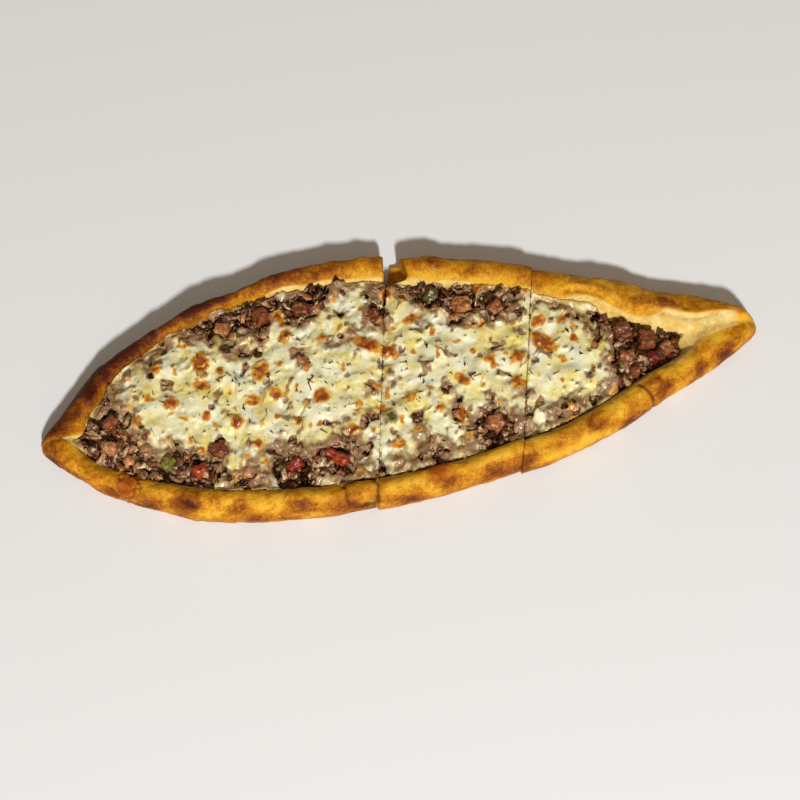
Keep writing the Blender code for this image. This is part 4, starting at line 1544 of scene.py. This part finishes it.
    def close(
        self, name: str, flat: Array, top: Array, present: Array, material: bpy.types.Material,
        layers: dict[str, Array],
    ) -> None:
        """Makes a closed sheet of a grid of heights and hands it over.

        Args:
            name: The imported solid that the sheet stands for.
            flat: The grid's places in plan, in one row each.
            top: Height of the upper side.
            present: Where something lies beneath.
            material: The cheese's material.
            layers: Values on the grid that the material reads, by name.
        """
        rows, columns = top.shape
        upper, lower = flat.copy(), flat.copy()
        upper[:, 2] = top.ravel()
        lower[:, 2] = np.maximum(top.ravel() - self.thickness, 0.0)
        number = np.arange(rows * columns).reshape(rows, columns)
        quads = np.stack([number[:-1, :-1], number[:-1, 1:], number[1:, 1:], number[1:, :-1]], axis=-1)
        whole = present[:-1, :-1] & present[:-1, 1:] & present[1:, 1:] & present[1:, :-1]
        quads = quads[whole]
        total = rows * columns
        ways = np.concatenate([quads[:, [k, (k + 1) % 4]] for k in range(4)])
        keys = ways[:, 0] * total + ways[:, 1]
        rim = ways[~np.isin(ways[:, 1] * total + ways[:, 0], keys)]
        sides = np.stack([rim[:, 1], rim[:, 0], rim[:, 0] + total, rim[:, 1] + total], axis=1)
        faces = np.concatenate([quads, quads[:, ::-1] + total, sides])
        used = np.zeros(2 * total, bool)
        used[faces.ravel()] = True
        renumber = np.cumsum(used) - 1
        mesh = bpy.data.meshes.new(name + "_melted")
        mesh.from_pydata(np.concatenate([upper, lower])[used].tolist(), [], renumber[faces].tolist())
        for key, values in layers.items():
            values = values.reshape(total, -1)
            doubled = np.concatenate([values, values])[used]
            store(mesh, key, doubled[:, 0] if doubled.shape[1] == 1 else doubled)
        mesh.materials.append(material)
        mesh.shade_smooth()
        keep_piece(add_piece(mesh.name, mesh), [name])

    def build(self, heap: Heap, plan: Plan) -> None:
        """Drapes the cheese over the four slices, and a little way up the rim's inner walls."""
        tree, owner = tree_over(heap.pieces)
        material = self.finish.material()
        for index in range(4):
            self.sheet(index, heap, plan, tree, owner, material)


@dataclass
class Studio:
    """Pale floor, soft lights and the camera."""

    azimuth: float = -11.3
    elevation: float = 66.0
    target: tuple[float, float, float] = (-0.002, -0.0055, 0.010)
    raise_by: float = -0.00966
    distance: float = 0.85
    lens: float = 71.28
    key_power: float = 112.0
    key_size: float = 0.30
    key_distance: float = 3.3
    key_elevation: float = 41.0
    key_turn: float = 10.0
    key_colour: tuple[float, float, float] = (1.0, 1.0, 0.985)
    fill: float = 0.24
    fill_colour: Colour = (1.0, 0.83, 0.64, 1.0)
    floor_half: float = 3.0

    def build(self) -> None:
        """Sets the stage."""
        scene = bpy.context.scene
        scene.view_settings.view_transform = "Standard"
        scene.view_settings.look = "None"
        self.floor()
        self.lights(scene)
        self.camera(scene)

    def floor(self) -> None:
        """A plain pale floor."""
        half = self.floor_half
        mesh = bpy.data.meshes.new("floor")
        corners = [(-half, -half, 0), (half, -half, 0), (half, half, 0), (-half, half, 0)]
        mesh.from_pydata(corners, [], [(0, 1, 2, 3)])
        bench = Bench("pale_floor")
        mesh.materials.append(bench.finish(Base_Color=tone(236, 238, 240), Roughness=0.7))
        add_piece("floor", mesh)

    def lights(self, scene: bpy.types.Scene) -> None:
        """A key light from the near side, a little to the right, and an even fill."""
        turn = math.radians(self.azimuth + self.key_turn)
        rise = math.radians(self.key_elevation)
        way = Vector((math.sin(turn) * math.cos(rise), -math.cos(turn) * math.cos(rise), math.sin(rise)))
        lamp = bpy.data.lights.new("key", "AREA")
        lamp.shape, lamp.size = "DISK", self.key_size
        lamp.energy = self.key_power
        lamp.color = self.key_colour
        key = bpy.data.objects.new("key", lamp)
        key.location = way * self.key_distance
        key.rotation_euler = (-way).to_track_quat("-Z", "Y").to_euler()
        scene.collection.objects.link(key)
        world = bpy.data.worlds.new("studio")
        world.use_nodes = True
        back = world.node_tree.nodes["Background"]
        back.inputs["Color"].default_value = self.fill_colour
        back.inputs["Strength"].default_value = self.fill
        scene.world = world

    def camera(self, scene: bpy.types.Scene) -> None:
        """The camera, which looks down at the loaf from its near side."""
        turn, rise = math.radians(self.azimuth), math.radians(self.elevation)
        back = Vector((math.sin(turn) * math.cos(rise), -math.cos(turn) * math.cos(rise), math.sin(rise)))
        right = Vector((math.cos(turn), math.sin(turn), 0.0))
        up = back.cross(right)
        lens = bpy.data.cameras.new("camera")
        lens.lens, lens.sensor_width = self.lens, 36.0
        lens.clip_start, lens.clip_end = 0.02, 20.0
        camera = bpy.data.objects.new("camera", lens)
        place = Vector(self.target) + up * self.raise_by + back * self.distance
        camera.matrix_world = Matrix.Translation(place) @ Matrix((right, up, back)).transposed().to_4x4()
        scene.collection.objects.link(camera)
        scene.camera = camera


def main() -> None:
    """Builds the pide and its studio."""
    logging.basicConfig(level=logging.INFO, format="%(name)s: %(message)s")
    heap = Heap()
    dense = heap.build()
    loaf = Loaf()
    plan = loaf.build(dense)
    heap.pieces += loaf.pieces
    heap.kinds += [Kind.CRUST] * len(loaf.pieces)
    Cheese().build(heap, plan)
    Studio().build()


if __name__ == "__main__":
    main()
